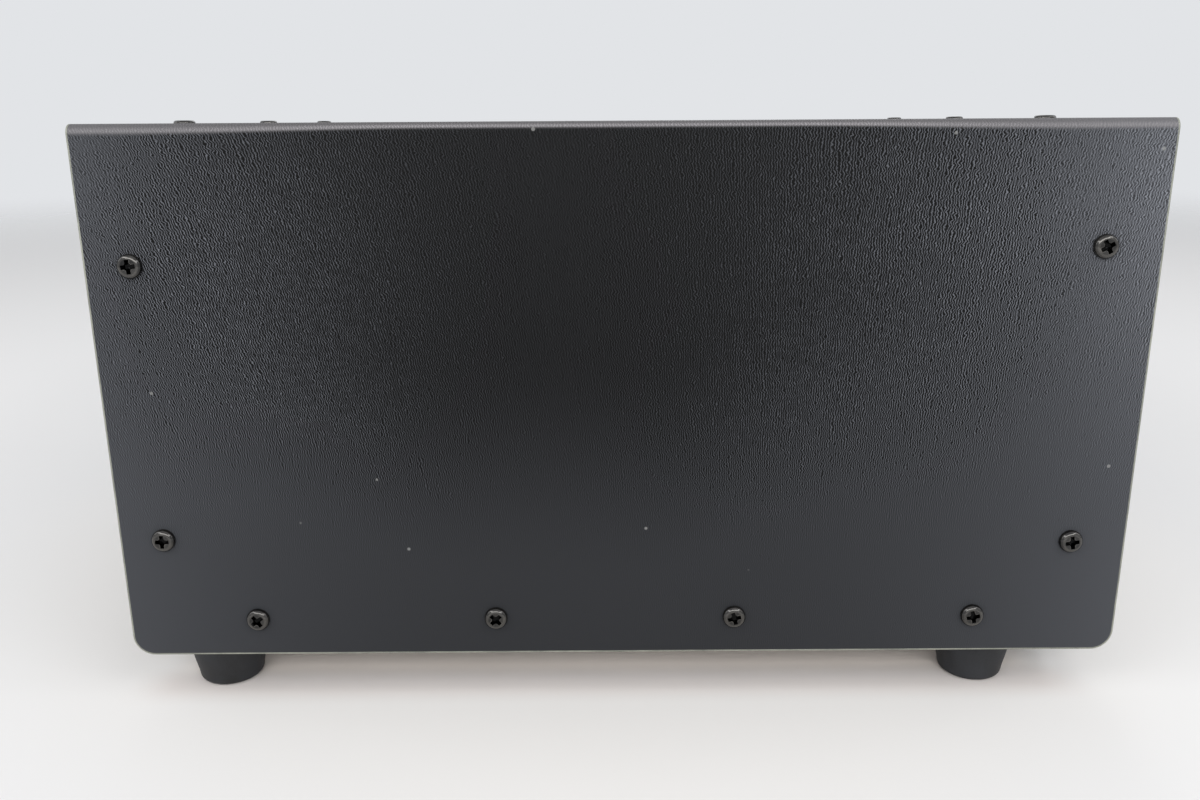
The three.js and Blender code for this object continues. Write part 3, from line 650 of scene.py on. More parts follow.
coverShape = {
    "width": 349,
    "depth": 381,
    "height": 200.5,
    "sheet": 1.5,
    "bend": 3.5,
    "lowerCorner": 8,
    "rounding": 0.22,
    "bareEdge": 0.6,       # how far the film stops short of the cut edges
}
ventShape = {"x": 87, "y": 282, "columns": 2, "columnPitch": 66, "rows": 10, "rowPitch": 8, "length": 56, "width": 3.2}
vinylLook = {
    "tint": (0.89, 0.935, 1.05),
    # the painted reflection in the film:
    "darkest": (-0.02, 0.006, 0.025),       # where along the case, and its tone above and below
    # each end of the painted reflection: reach, how sharply it rises, by how much above and below, and where and how
    # much the grain stands out
    "frontEnd": (0.165, 2.75, 0.054, 0.028, 1.0, 1.25),
    "rearEnd": (0.215, 3.25, 0.105, 0.036, 1.15, 1.2),
    "contrast": 0.42,
    "ridgeMean": 0.36,     # what a ridge's height comes to on average
    # the bend's band: partly the film stretched greyer, partly painted light, with a painted highlight along it
    "bendTone": "676567",
    "bendSheen": "989598",
    "lint": "9a9a98",
    "fallen": "8c8a86",
    "period": 0.92,        # millimetres from wrinkle to wrinkle
    "length": 1.3,
    "slant": 0.12,
    "wander": 2.1,
    "grainDepth": 0.00012,
}


def makeWrinkles(look):
    # wrinkles that run down the sides and over the top, pressed flat on the bend and fainter towards the lower edge
    tree, given = newGroup("wrinkles", Period=look["period"] / 1000, Length=look["length"] / 1000,
                           Slant=look["slant"], Wander=look["wander"])
    x, y, z = axesOf(placeOf(tree))
    top = (coverShape["height"] + footHeight) / 1000
    inward = coverShape["width"] / 2000 - abs(x)
    along = z + inward
    # they lean one way at the front and the other at the back, and wander, fork and break off
    film = vectorOf(y, along, x * 0.3)
    drift = noise(film, 40.0, 1.0)[0]
    lean = given["Slant"] - y * 1.7
    acrossFilm = y + (z - 0.15) * lean + drift * 0.003
    cell = vectorOf(y / (given["Period"] * 2.8), along / given["Length"], x * 40.0)
    wander = noise(cell, 1.0, 1.0)
    turns = acrossFilm / given["Period"] + wander[0] * given["Wander"]
    ridge = (maths("SINE", turns * (2 * pi)) * 0.5 + 0.5) ** 2.2
    whole = ramp(add(tree, "ShaderNodeSeparateColor", {0: wander[1]})[1], 0.38, 0.58, 0.5, 1.15)
    ridge = (ridge - look["ridgeMean"]) * whole
    # the bend's band, partly the film stretched greyer and partly a painted highlight of light from above, is narrow
    # and bright half way along, wider and duller towards both ends
    ends = ramp(abs(y), 0.06, 0.17)
    drop = (top - z) / (ends + 1.6)
    bend = ramp(drop, 0.0017, 0.001) * ramp(inward, 0.0075, 0.0035)
    # a painted highlight along the bend
    paintedHighlight = ramp(drop, 0.0014, 0.00095) * ramp(drop, 0.0003, 0.0009) * ramp(ends, 0, 1, 0.95, 0.5)
    # the ridges break up the band and its painted highlight
    bandBreakup = ramp(ridge, -0.4, 0.6, 0.4, 1.0)
    rub = noise(film, 16.0, 3.0)[0]
    strength = ramp(z, 0.05, 0.15, 0.06, 1.3) * ramp(z, 0.165, 0.215, 1.0, 0.78) * ramp(rub, 0.3, 0.6, 0.75, 1.0)
    return endGroup(tree, Ridge=ridge + look["ridgeMean"], Strength=strength * ramp(bend, 0, 1, 1.0, 0.12),
                    Bend=bend * ramp(bandBreakup, 0, 1, 0.7, 1.0), Sheen=paintedHighlight * bandBreakup)


def makePaintedReflection(look):
    # painted reflection: the film is painted darkest at its upper middle and greyer towards its ends and its lower
    # edge, as the dark room, the lamps and the floor are mirrored in it; the grain stands out more towards the ends
    tree, _ = newGroup("fading")
    _, y, z = axesOf(placeOf(tree))
    middle, darkAbove, darkBelow = look["darkest"]
    away = y - middle
    early = ramp(abs(away), 0.03, 0.12, 0, 0.03)
    tone = ramp(z - early, 0.14, 0.045, darkAbove, darkBelow)
    lower = ramp(z, 0.2, 0.07)
    contrast = look["contrast"]
    for sign, (reach, power, above, under, span, stands) in ((-1, look["frontEnd"]), (1, look["rearEnd"])):
        share = maths("MULTIPLY", away, sign / reach, clamp=True)
        tone = tone + share ** power * ramp(lower, 0, 1, above, under, smooth=False)
        share = maths("MULTIPLY", share, span, clamp=True)
        contrast = (share * 4.0 * (1.0 - share)) ** 1.5 * stands + contrast
    return endGroup(tree, Tone=tone, Contrast=contrast)


def vinylFinish(look):
    material, tree = newFinish("coverVinyl", Specular_IOR_Level=0.14)
    film, fading = useGroup(tree, makeWrinkles(look)), useGroup(tree, makePaintedReflection(look))
    # the ridges are lighter than the hollows, partly the film's own grain and partly a painted highlight where they
    # catch the light
    swing = (film["Ridge"] - look["ridgeMean"]) * 3.5 * film["Strength"] * fading["Contrast"]
    # the film's tone carries the painted reflection
    colour = scaled(look["tint"], fading["Tone"] * (swing + 1.0))
    # the bend's band, partly stretched film and partly painted light, and its painted highlight
    colour = mix(film["Bend"] * 0.75, colour, look["bendTone"])
    colour = mix(film["Sheen"] * 0.8, colour, look["bendSheen"])
    fallen = useGroup(tree, dust, Amount=0.035, Scale=24.0)
    colour = mix(fallen["Mask"], colour, look["fallen"])
    colour = mix(fallen["Specks"] * 0.45, colour, look["lint"])
    dress(tree, Base_Color=colour, Roughness=ramp(film["Ridge"], 0, 1, 0.64, 0.52) + film["Bend"] * -0.12,
          Normal=bumped(film["Ridge"] * film["Strength"], 0.8, look["grainDepth"]))
    return material


coverVinyl = vinylFinish(vinylLook)
cutSteel = moulded("coverCutEdge", "6e7068", "96978c", (0.4, 0.6), 1500.0, 90.0, 0.12, metallic=0.25)
primedSteel = moulded("coverInside", "6d6f6c", "8c8e8b", (0.45, 0.6), 900.0, 25.0, 0.12, metallic=0.3, dusty=0.1)


def makeSlotCutter(shape):
    # a grid of round-ended slots, standing through the top sheet
    tree, given = newShaper("slotGrid", Columns=2, Rows=10, Column_Pitch=66.0, Row_Pitch=8.0, Length=56.0, Width=3.2,
                            Depth=8.0)
    grid = add(tree, "GeometryNodeMeshGrid", {
        "Size X": given["Column Pitch"] * (given["Columns"] - 1.0),
        "Size Y": given["Row Pitch"] * (given["Rows"] - 1.0),
        "Vertices X": given["Columns"], "Vertices Y": given["Rows"]})[0]
    slot = add(tree, "GeometryNodeCurvePrimitiveQuadrilateral", {"Width": given["Length"], "Height": given["Width"]})[0]
    ends = add(tree, "GeometryNodeFilletCurve", {
        "Curve": slot, "Count": 6, "Limit Radius": True, "Radius": given["Width"] * 0.499}, mode="POLY")[0]
    face = add(tree, "GeometryNodeFillCurve", {"Curve": ends}, mode="NGONS")[0]
    pushed = add(tree, "GeometryNodeExtrudeMesh", {
        "Mesh": face, "Offset Scale": given["Depth"], "Individual": False}, mode="FACES")[0]
    floor = add(tree, "GeometryNodeFlipFaces", {0: face})[0]
    closed = add(tree, "GeometryNodeJoinGeometry", {0: [floor, pushed]})[0]
    solid = add(tree, "GeometryNodeMergeByDistance", {"Geometry": closed, "Distance": 0.001})[0]
    cutter = grow(seedPoint(), endShaper(tree, onPoints(grid, solid), given),
                  Columns=shape["columns"], Rows=shape["rows"],
                  Column_Pitch=float(shape["columnPitch"]), Row_Pitch=float(shape["rowPitch"]),
                  Length=float(shape["length"]), Width=float(shape["width"]))
    return moved(cutter, shape["x"], shape["y"], coverShape["height"] - 4)


def bareEdges(piece, shape):
    # draws a second line round the outer face, where the film stops short of the cut edges
    half, top, bend = shape["width"] / 2, shape["height"], shape["bend"]
    shell = bmesh.new()
    shell.from_mesh(piece.data)
    bare = shell.faces.layers.int.new("bareEdge")
    outer = []
    for face in shell.faces:
        x, _, z = face.calc_center_median()
        corner = Vector((max(abs(x) - half + bend, 0), max(z - top + bend, 0)))
        if abs(face.normal.y) < 0.1 and face.normal.z > -0.1 and corner.length > bend - 0.05:
            outer.append(face)
    ring = bmesh.ops.inset_region(shell, faces=outer, thickness=shape["bareEdge"], use_even_offset=True,
                                  use_boundary=True)
    for face in ring["faces"]:
        _, y, z = face.calc_center_median()
        face[bare] = int(z < top - 1 or min(y, shape["depth"] - y) < 5)
    shell.to_mesh(piece.data)
    shell.free()


def makeCover(shape):
    half, top, sheet, bend = shape["width"] / 2, shape["height"], shape["sheet"], shape["bend"]
    right, left = (half - bend, top - bend), (bend - half, top - bend)
    outer = [(half, -3)] + arc(right, bend, 0, pi / 2, 10) + arc(left, bend, pi / 2, pi, 10) + [(-half, -3)]
    inner = [(sheet - half, -3)] + arc(left, bend - sheet, pi, pi / 2, 6)
    inner += arc(right, bend - sheet, pi / 2, 0, 6) + [(half - sheet, -3)]
    cover = slab(outer + inner, (-2, shape["depth"] + 2))
    side = rounded((0, shape["depth"]), (0, 2 * top), shape["lowerCorner"], 12)
    combine(cover, [slab(side, (-half - 5, half + 5), "x")], "INTERSECT")
    combine(cover, [makeSlotCutter(ventShape)])
    bareEdges(cover, shape)
    bevel(cover, shape["rounding"], 2, 50)
    mount(cover, "coverSheet", coverVinyl, "cover_vinyl", "cover")
    for inside in (cutSteel, primedSteel):
        cover.data.materials.append(inside)
    # film on what faces out, bare steel on the cut edges, primer inside
    half, top, inset = half / 1000, (top + footHeight) / 1000, (sheet - shape["rounding"]) / 1000
    bare = cover.data.attributes["bareEdge"].data
    for face in cover.data.polygons:
        (x, _, z), turn = face.center, face.normal
        outside = max(abs(x) - half, z - top)
        lowEdge = -inset - 0.0001 < outside < -0.0001 and turn.z < -0.3 and abs(turn.x) < 0.5
        if bare[face.index].value or abs(turn.y) > 0.75 or lowEdge:
            face.material_index = 1
        elif outside < -inset and abs(x) < half - inset and z < top - inset:
            face.material_index = 2


makeCover(coverShape)
print("the cover is bent and slotted")


# Screws: pan heads with a cross recess, set by their own spin

screwShape = {"radius": 4.45, "height": 2.4, "shoulder": 1.75, "recess": 2.7, "recessDepth": 1.75, "wing": 0.8}
lowScrewShape = {"radius": 4.2, "height": 1.25, "shoulder": 1.05, "recess": 2.4, "recessDepth": 0.9, "wing": 0.7}


def makePanHead(shape, sides=40):
    # a domed head about z, with the cross cut in by two tapered bars and a cone
    r, h, bend = pick(shape, "radius height shoulder")
    profile = [(0, 0), (r * 0.97, 0), (r, 0.12)] + arc((r - bend, h - bend - 0.06), bend, 0, 0.49 * pi, 9) + [(0, h)]
    head = turned(profile, sides=sides, axis="z")
    reach, wing, low = shape["recess"], shape["wing"], h - shape["recessDepth"]
    cutters = []
    for quarter in (0, 1):
        tapered = []
        for z, share in ((low, 0.55), (h + 0.5, 1.08)):
            for sx, sy in ((-1, -1), (1, -1), (1, 1), (-1, 1)):
                corner = Vector((sx * reach * share, sy * wing * (0.7 + 0.3 * share), z))
                tapered.append(Matrix.Rotation(quarter * pi / 2, 3, "Z") @ corner)
        faces = [(3, 2, 1, 0), (4, 5, 6, 7)] + [(i, (i + 1) % 4, 4 + (i + 1) % 4, 4 + i) for i in range(4)]
        cutters.append(newObject(tapered, faces))
    core = [(0, low - 0.35), (wing * 1.1, low + 0.2), (wing * 2.1, h + 0.6), (0, h + 0.6)]
    cutters.append(turned(core, sides=16, axis="z"))
    combine(head, cutters)
    shade(head, 40)
    # marks the faces of the cross, where the finish paints shade
    sunk = head.data.attributes.new("sunk", "FLOAT", "FACE")
    for face in head.data.polygons:
        away = math.hypot(face.center.x, face.center.y)
        edge = max(away - r + bend, 0)
        dome = h - 0.06 - bend + (bend ** 2 - min(edge, bend) ** 2) ** 0.5
        sunk.data[face.index].value = float(away < reach * 1.2 and 0.05 < face.center.z < dome - 0.07)
    # and how far out each point of the head is, for the painted dark crown and the painted highlight ring on the
    # shoulder
    crown = head.data.attributes.new("crown", "FLOAT", "POINT")
    for point in head.data.vertices:
        crown.data[point.index].value = math.hypot(point.co.x, point.co.y) / r
    return head


def makeScrewSetter():
    # an instance of the head on every point, stood along its facing and turned by its spin
    tree, given = newShaper("screwSetter", Head="Object", Size=1.0)
    facing, spin = (add(tree, "GeometryNodeInputNamedAttribute", {"Name": word}, data_type=kind)[0]
                    for word, kind in (("facing", "FLOAT_VECTOR"), ("spin", "FLOAT")))
    stand = add(tree, "FunctionNodeAlignRotationToVector", {"Vector": facing}, axis="Z")[0]
    size = vectorOf(given["Size"], given["Size"], given["Size"])
    heads = onPoints(given["Geometry"], shapeOf(given["Head"]),
                     Rotation=turnBoth(stand, turnAbout(tree, (0, 0, 1), spin)), Scale=size)
    return endShaper(tree, heads, given)


panHead = makePanHead(screwShape)
lowPanHead = makePanHead(lowScrewShape)
screwSetter = makeScrewSetter()


def screws(name, places, size, material, seed, *replaces, slot="screw_black", head=None, spins=None):
    # places holds (point, facing) pairs
    chance = random.Random(seed)
    points = pathOf([point for point, _ in places])
    facing = points.data.attributes.new("facing", "FLOAT_VECTOR", "POINT")
    for index, (_, way) in enumerate(places):
        facing.data[index].vector = way
    spin = points.data.attributes.new("spin", "FLOAT", "POINT")
    for index in range(len(places)):
        spin.data[index].value = spins[index] if spins else chance.uniform(0, pi / 2)
    grow(points, screwSetter, Head=head or panHead, Size=size, Material=material)
    mount(points, name, None, slot, *replaces)


def pairs(x, z=None):
    # the four corners at plus and minus x and z
    z = x if z is None else z
    return [(sx * x, sz * z) for sx in (-1, 1) for sz in (-1, 1)]


# worn tones the rubbed edges and also paints the highlight ring on the shoulder; sunk paints shade in the cross
screwSteel = moulded("screwBlackOxide", "171616", "403e3b", (0.12, 0.2), 2600.0, 260.0, 0.04, metallic=0.85,
                     depth=0.0001, wear=0.6, worn="9e9a93", sunk="050505", Coat_Roughness=0.06)
coverScrewPlan = {
    "front": (16.6, (48.1, 151.9)),
    "rear": (20.8, (45.5, 156.8)),
    "lower": (49.4, 92, 4, 15),
    "top": (16.1, 19.6, 109.6),
    "spins": (0.0, 0.1, 0.15, 0.5, 0.65, 0.78, 0.25, 0.2),
}


def setCoverScrews(plan):
    depth, half, top = coverShape["depth"], coverShape["width"] / 2, coverShape["height"]
    inset, heights = plan["front"]
    sides = [(inset, z) for z in heights]
    inset, heights = plan["rear"]
    sides += [(depth - inset, z) for z in heights]
    first, pitch, count, height = plan["lower"]
    sides += [(first + pitch * i, height) for i in range(count)]
    right, left = ([((side * half, y, z), (side, 0, 0)) for y, z in sides] for side in (1, -1))
    front, rear, pitch = plan["top"]
    above = [((step * pitch, y, top), (0, 0, 1)) for y in (front, depth - rear) for step in (-1, 0, 1)]
    nodes = (f"cover_screw_{i}" for i in range(1, 9))
    screws("rightCoverScrews", right, 1.0, screwSteel, 3, *nodes, spins=plan["spins"])
    screws("leftCoverScrews", left, 1.0, screwSteel, 4)
    screws("topCoverScrews", above, 1.0, screwSteel, 5, head=lowPanHead)


setCoverScrews(coverScrewPlan)


# Feet: tapered rubber, each held by a screw in a recess below

footShape = {"x": 156.5, "ys": {"front": 30.4, "rear": 333}, "height": footHeight}
footRubber = moulded("footRubber", "131416", "2b2d31", (0.5, 0.68), 1400.0, 70.0, 0.2, depth=0.00015, wear=0.3,
                     worn="5a5b5e", dusty=0.25, level=0.4)
zincPlate = moulded("zincPlate", "8f9296", "c3c6c9", (0.28, 0.45), 700.0, 55.0, 0.06, metallic=0.9, dusty=0.12)


def makeFeet(shape):
    low, heads = -shape["height"], []
    for end, y in shape["ys"].items():
        for side, x in (("left", -shape["x"]), ("right", shape["x"])):
            profile = [(0, low + 9), (4.4, low + 9), (4.5, low + 8.6), (4.5, low + 0.5), (5.0, low)]
            profile += arc((9.9, low + 2.6), 2.6, -pi / 2, -0.12, 8)
            profile += [(12.75, low + 4.2), (13.7, low + 8.5), (14.7, low + 13.2), (15.3, 0), (15.4, 0.7), (0, 0.7)]
            foot = turned(profile, (x, y, 0), 64, 50, "z")
            mount(foot, f"{end}{side.title()}Foot", footRubber, "foot_rubber", f"{end}_{side}_foot")
            heads.append(((x, y, low + 8.9), (0, 0, -1)))
    screws("footScrews", heads, 0.8, zincPlate, 6, slot=None)


makeFeet(footShape)
print("screws and feet are on")


# Printed figures, inlaid lines and ticks

ontoFront = Matrix.Rotation(pi / 2, 4, "X")     # from the xy plane to a face that looks forwards
ontoRear = Matrix(((-1, 0, 0, 0), (0, 0, 1, 0), (0, 1, 0, 0), (0, 0, 0, 1)))
whiteInk, blackInk, redInk = (moulded(name, dark, light, (0.45, 0.6), 3000.0, 300.0, 0.05) for name, dark, light in (
    ("whiteInk", "d6d5cf", "eceae4"), ("blackInk", "151515", "26262a"), ("redInk", "a3211c", "bd3129")))


def figure(text, size, thick=0.1):
    data = bpy.data.curves.new("figure", "FONT")
    data.body = text
    data.size = size
    data.align_x = data.align_y = "CENTER"
    data.extrude = thick / 2
    data.resolution_u = 3
    written = addObject("figure", data)
    bpy.context.view_layer.update()
    graph = bpy.context.evaluated_depsgraph_get()
    made = addObject("figure", bpy.data.meshes.new_from_object(written.evaluated_get(graph)))
    bpy.data.objects.remove(written)
    tidy(made)
    return made


def makeTickSetter():
    # bars on an arc, clockwise from straight up, that may lean back as on a cone
    tree, given = newShaper("tickSetter", Count=11, Start=0.0, Step=0.1, Radius=20.0, Width=0.3, Length=2.0,
                            Height=0.1, Lean=0.0)
    angle = given["Start"] + add(tree, "GeometryNodeInputIndex")[0] * given["Step"]
    place = vectorOf(maths("SINE", angle) * given["Radius"], maths("COSINE", angle) * given["Radius"])
    points = add(tree, "GeometryNodePoints", {"Count": given["Count"], "Position": place})[0]
    size = vectorOf(given["Width"], given["Length"], given["Height"])
    tick = add(tree, "GeometryNodeMeshCube", {"Size": size})[0]
    turn = turnBoth(turnAbout(tree, (0, 0, 1), angle * -1.0), turnAbout(tree, (1, 0, 0), given["Lean"]))
    return endShaper(tree, onPoints(points, tick, Rotation=turn), given)


tickSetter = makeTickSetter()


def ticks(count, start, step, radius, width, length, height=0.1, lean=0.0):
    return grow(seedPoint(), tickSetter, Count=count, Start=start, Step=step, Radius=float(radius),
                Width=width, Length=length, Height=height, Lean=lean)


def onDial(piece, angle, radius, height=0.0, lean=0.0):
    # from the middle of a dial out to a place on it, clockwise from straight up
    place = Matrix.Translation((0, radius, height)) @ Matrix.Rotation(lean, 4, "X")
    return moved(piece, turn=Matrix.Rotation(-angle, 4, "Z") @ place)


def printOn(name, pieces, place, ink, facing=ontoFront, **ride):
    mount(moved(merge(pieces), *place, facing), name, ink, **ride)


# Front panel: a painted sheet with its edges bent back under the cover

panelShape = {
    "front": 1, "back": 3, "flangeEnd": 27, "half": 172.7, "top": 198.7, "foot": 1, "corner": 3.5, "sheet": 1.5,
    "flangeFoot": 29.3, "screws": ((-163, 163), (14, 186)),
}
meterPlaces = {"grid": (-118, 136), "plate": (-39, 136)}
tuningPlaces = {"plate": (38, 132), "load": (104, 132)}
bandPlace = (71, 56)
rockerPlaces = {"power": (-128, 56), "standby": (-92, 56)}
lampPlace = (-58, 56)
panelPaint = moulded("panelPaint", "38393b", "434547", (0.34, 0.46), 1900.0, 30.0, 0.16, depth=0.00012, wear=0.3,
                     worn="9a9b9c", dusty=0.08)


def pan(shape, front, back, end, way):
    # a plate whose sides and top are bent towards way, 1 for backwards and -1 for forwards
    half, top, sheet = pick(shape, "half top sheet")
    blank = slab(rounded((-half, half), (-top, top), shape["corner"], 8), (min(front, end), max(front, end)))
    hollow = rounded((sheet - half, half - sheet), (sheet - top, top - sheet), shape["corner"] - sheet, 8)
    depth = (back, end + 5) if way > 0 else (end - 5, back)
    cuts = [slab(hollow, depth), block((-200, 200), (-10, 400), (-260, shape["foot"]))]
    for side in (-1, 1):
        cuts.append(block(around(side * half, 2 * sheet + 4), depth, (-9, shape["flangeFoot"])))
        # the plate's lower corners stay behind the cover's rounded ones
        corner = [(side * (half + 2), 9.5), (side * (half - 9), -1.5), (side * (half + 2), -1.5)]
        cuts.append(slab(corner, (-10, 400)))
    return combine(blank, cuts)


def panelScrews(name, shape, y, way, seed):
    xs, zs = shape["screws"]
    screws(name, [((x, y, z), (0, way, 0)) for x in xs for z in zs], 0.72, screwSteel, seed)


def makeFrontPanel(shape):
    panel = pan(shape, shape["front"], shape["back"], shape["flangeEnd"], 1)
    through = (shape["front"] - 1, shape["back"] + 1)
    cuts = [plate(middle, (62, 48), 1, through) for middle in meterPlaces.values()]
    cuts += [plate(middle, (20.6, 29.6), 1, through) for middle in rockerPlaces.values()]
    cuts += [hole(8, middle, through) for middle in [*tuningPlaces.values(), bandPlace]]
    combine(panel, cuts + [hole(5, lampPlace, through)])
    bevel(panel, 0.25, 2)
    mount(panel, "frontPanel", panelPaint, "panel_paint", "front_panel")
    panelScrews("frontPanelScrews", shape, shape["front"], -1, 11)


makeFrontPanel(panelShape)


# Meters: a scale card under glass, with a needle that swings over it

meterShape = {
    "bezel": (74, 60), "corner": 3, "front": -3.8, "seat": 0.7, "body": (61.2, 47.2), "back": 30,
    "pocket": (56, 42), "mask": -11, "face": 6, "glass": (65.4, 51.4), "pivot": -14, "needle": 30.5,
    "arc": 27, "swing": pi / 4, "screws": (34.9, 27.9),
}
meterScales = {"grid": (5, 4, "0 1 2 3 4"), "plate": (6, 5, "0 2 4 6 8 10")}
meterPlastic = moulded("meterPlastic", "161617", "232325", (0.24, 0.34), 2200.0, 60.0, 0.05, wear=0.25, worn="57575a",
                       dusty=0.12)
scaleCard = moulded("scaleCard", "e9e4d3", "f3efe1", (0.6, 0.75), 1500.0, 45.0, 0.05)
needleLacquer = moulded("needleLacquer", "18181a", "2a2a2c", (0.3, 0.42), 3000.0, 400.0, 0.04)


def paneFinish(name, tint, rough=0.03):
    material, tree = newFinish(name, Transmission_Weight=1.0, IOR=1.45, Metallic=0.0, Base_Color=linear(tint))
    smear = useGroup(tree, speckle, Scale=120.0, Broad=22.0)["Tone"]
    dress(tree, Roughness=ramp(smear, 0.2, 1.0, rough, rough + 0.06))
    return material


meterGlass = paneFinish("meterGlass", "f6f9f8")


def makeMeter(name, shape, x, z, majors, minors, figures):
    front, seat, face = pick(shape, "front seat face")
    shell = bevel(plate((x, z), shape["bezel"], shape["corner"], (front, seat), 8), 0.9, 4)
    wide, high = shape["pocket"]
    mask, low, top = z + shape["mask"], z - high / 2, z + high / 2
    depth = [(front - 1, mask), (1.5, mask), (1.5, low), (face, low), (face, top), (front - 1, top)]
    across, up = shape["body"]
    combine(shell, [block(around(x, across), (seat - 0.5, shape["back"]), around(z, up))], "UNION")
    combine(shell, [slab(depth, around(x, wide), "x"), plate((x, z), (66, 52), 1.5, (front - 1, front + 2))])
    bevel(shell, 0.25, 2, 50)
    mount(shell, f"{name}MeterCase", meterPlastic, "meter_plastic", f"{name}_meter_case")

    card = plate((x, z), (wide - 0.4, high - 0.4), 0.6, (face - 0.4, face - 0.05))
    mount(card, f"{name}MeterCard", scaleCard)
    swing, reach, axle = shape["swing"], shape["arc"], z + shape["pivot"]
    pivot = (x, face - 0.42, axle)
    step = 2 * swing / (majors - 1)
    inked = [ticks(majors, -swing, step, reach + 1.9, 0.42, 3.8),
             ticks((majors - 1) * minors + 1, -swing, step / minors, reach + 1.1, 0.2, 2.2),
             ticks(121, -swing, 2 * swing / 120, reach, 2 * swing * reach / 120 + 0.05, 0.22)]
    inked += [onDial(figure(text, 3.3), -swing + step * i, reach + 5.6) for i, text in enumerate(figures.split())]
    printOn(f"{name}MeterScale", inked, pivot, blackInk)
    limit = ticks(31, swing * 0.58, swing * 0.42 / 30, reach - 1.2, swing * 0.42 * reach / 30 + 0.05, 1.1)
    printOn(f"{name}MeterLimit", [limit], pivot, redInk)

    end = shape["needle"]
    pointer = [(-0.8, -6.5), (0.8, -6.5), (0.62, 0), (0.45, 12), (0.2, end), (-0.2, end), (-0.45, 12), (-0.62, 0)]
    hub = turned([(0, 2.5), (2.4, 2.5), (2.9, 2.9), (2.9, 5.2), (0, 5.2)], sides=32)
    needle = moved(merge([slab(pointer, (3.1, 3.7)), hub]), x, 0, axle, Matrix.Rotation(-swing, 4, "Y"))
    mount(needle, f"{name}MeterNeedle", needleLacquer, "needle_metal", f"{name}_meter_needle", body=f"{name}_needle")
    pane = plate((x, z), shape["glass"], 1.2, (front + 0.2, front + 1.7))
    mount(pane, f"{name}MeterGlass", meterGlass, "meter_lens", f"{name}_meter_window")
    heads = [((x + dx, front, z + dz), (0, -1, 0)) for dx, dz in pairs(*shape["screws"])]
    screws(f"{name}MeterScrews", heads, 0.34, screwSteel, 12)


for name, place in meterPlaces.items():
    makeMeter(name, meterShape, *place, *meterScales[name])
print("the front panel and its meters are in")


# Tuning knobs and dials: a fluted grip with a spun cap, in front of a graduated cone

def makeFluter():
    # draws the side of a lathe piece in by even scallops round the y axis
    tree, given = newShaper("fluter", Flutes=14.0, Depth=1.0, From=-20.0, To=-10.0, Ease=1.2)
    x, y, z = axesOf(add(tree, "GeometryNodeInputPosition")[0])
    wave = maths("COSINE", maths("ARCTAN2", x, z) * given["Flutes"])
    inside = ramp(y, given["From"], given["From"] + given["Ease"]) * ramp(y, given["To"], given["To"] - given["Ease"])
    out = vectorOf(x, 0.0, z)
    pull = (maths("SUBTRACT", 0.5, wave * 0.5) ** 0.8) * (inside * ramp(lengthOf(out), 8.0, 12.0)) * given["Depth"]
    way = add(tree, "ShaderNodeVectorMath", {0: out}, operation="NORMALIZE")[0]
    return endShaper(tree, add(tree, "GeometryNodeSetPosition", {
        "Geometry": given["Geometry"], "Offset": scaled(way, pull * -1.0)})[0], given)


fluter = makeFluter()
knobPlastic = moulded("knobPlastic", "131314", "242426", (0.3, 0.42), 2000.0, 120.0, 0.08, depth=0.0001, wear=0.45,
                      worn="6a6a6c", dusty=0.15)


def spin(piece, across, up, second=2):
    # a UV map that holds each corner's distance from an axis, and its turn about it
    layer = piece.data.uv_layers.new(name="spun")
    for loop in piece.data.loops:
        point = piece.data.vertices[loop.vertex_index].co
        dx, dz = point.x - across, point[second] - up
        layer.data[loop.index].uv = (math.hypot(dx, dz), abs(math.atan2(dz, dx)) / pi)
    return piece


def spunFinish(name, dark, light, rings=5.0, rough=(0.18, 0.34), worn="e4e4e2"):
    material, tree = newFinish(name, Metallic=1.0)
    drawn = vectors("MULTIPLY", add(tree, "ShaderNodeUVMap", uv_map="spun")[0], (rings, 1.2, 1.0))
    lines = noise(drawn, 1.0, 4.0, 0.7)[0]
    tone = ramp(lines, 0.3, 0.7)
    grain = useGroup(tree, speckle, Scale=800.0, Broad=60.0)["Tone"]
    colour = mix(tone * 0.6 + grain * 0.4, dark, light)
    dress(tree, Base_Color=mix(useGroup(tree, edgeWear, Amount=0.3)["Mask"], colour, worn),
          Roughness=ramp(tone, 0, 1, *rough), Normal=bumped(lines, 0.12, 0.00008))
    return material


spunAluminium = spunFinish("spunAluminium", "a7a9ab", "d3d5d6")
tuningKnob = {"radius": 16, "flutes": 14.0, "depth": 1.0, "face": -24, "cap": 9.8, "skirt": 17}
tuningDial = {"inner": 23, "outer": 28, "front": -6.4, "rim": -2.0, "back": -0.8, "divisions": 50,
              # how many, every how many divisions, radius, width, length
              "marks": ((11, 5, 26.65, 0.42, 2.9), (51, 1, 27.0, 0.22, 1.7)), "figures": 24.35}


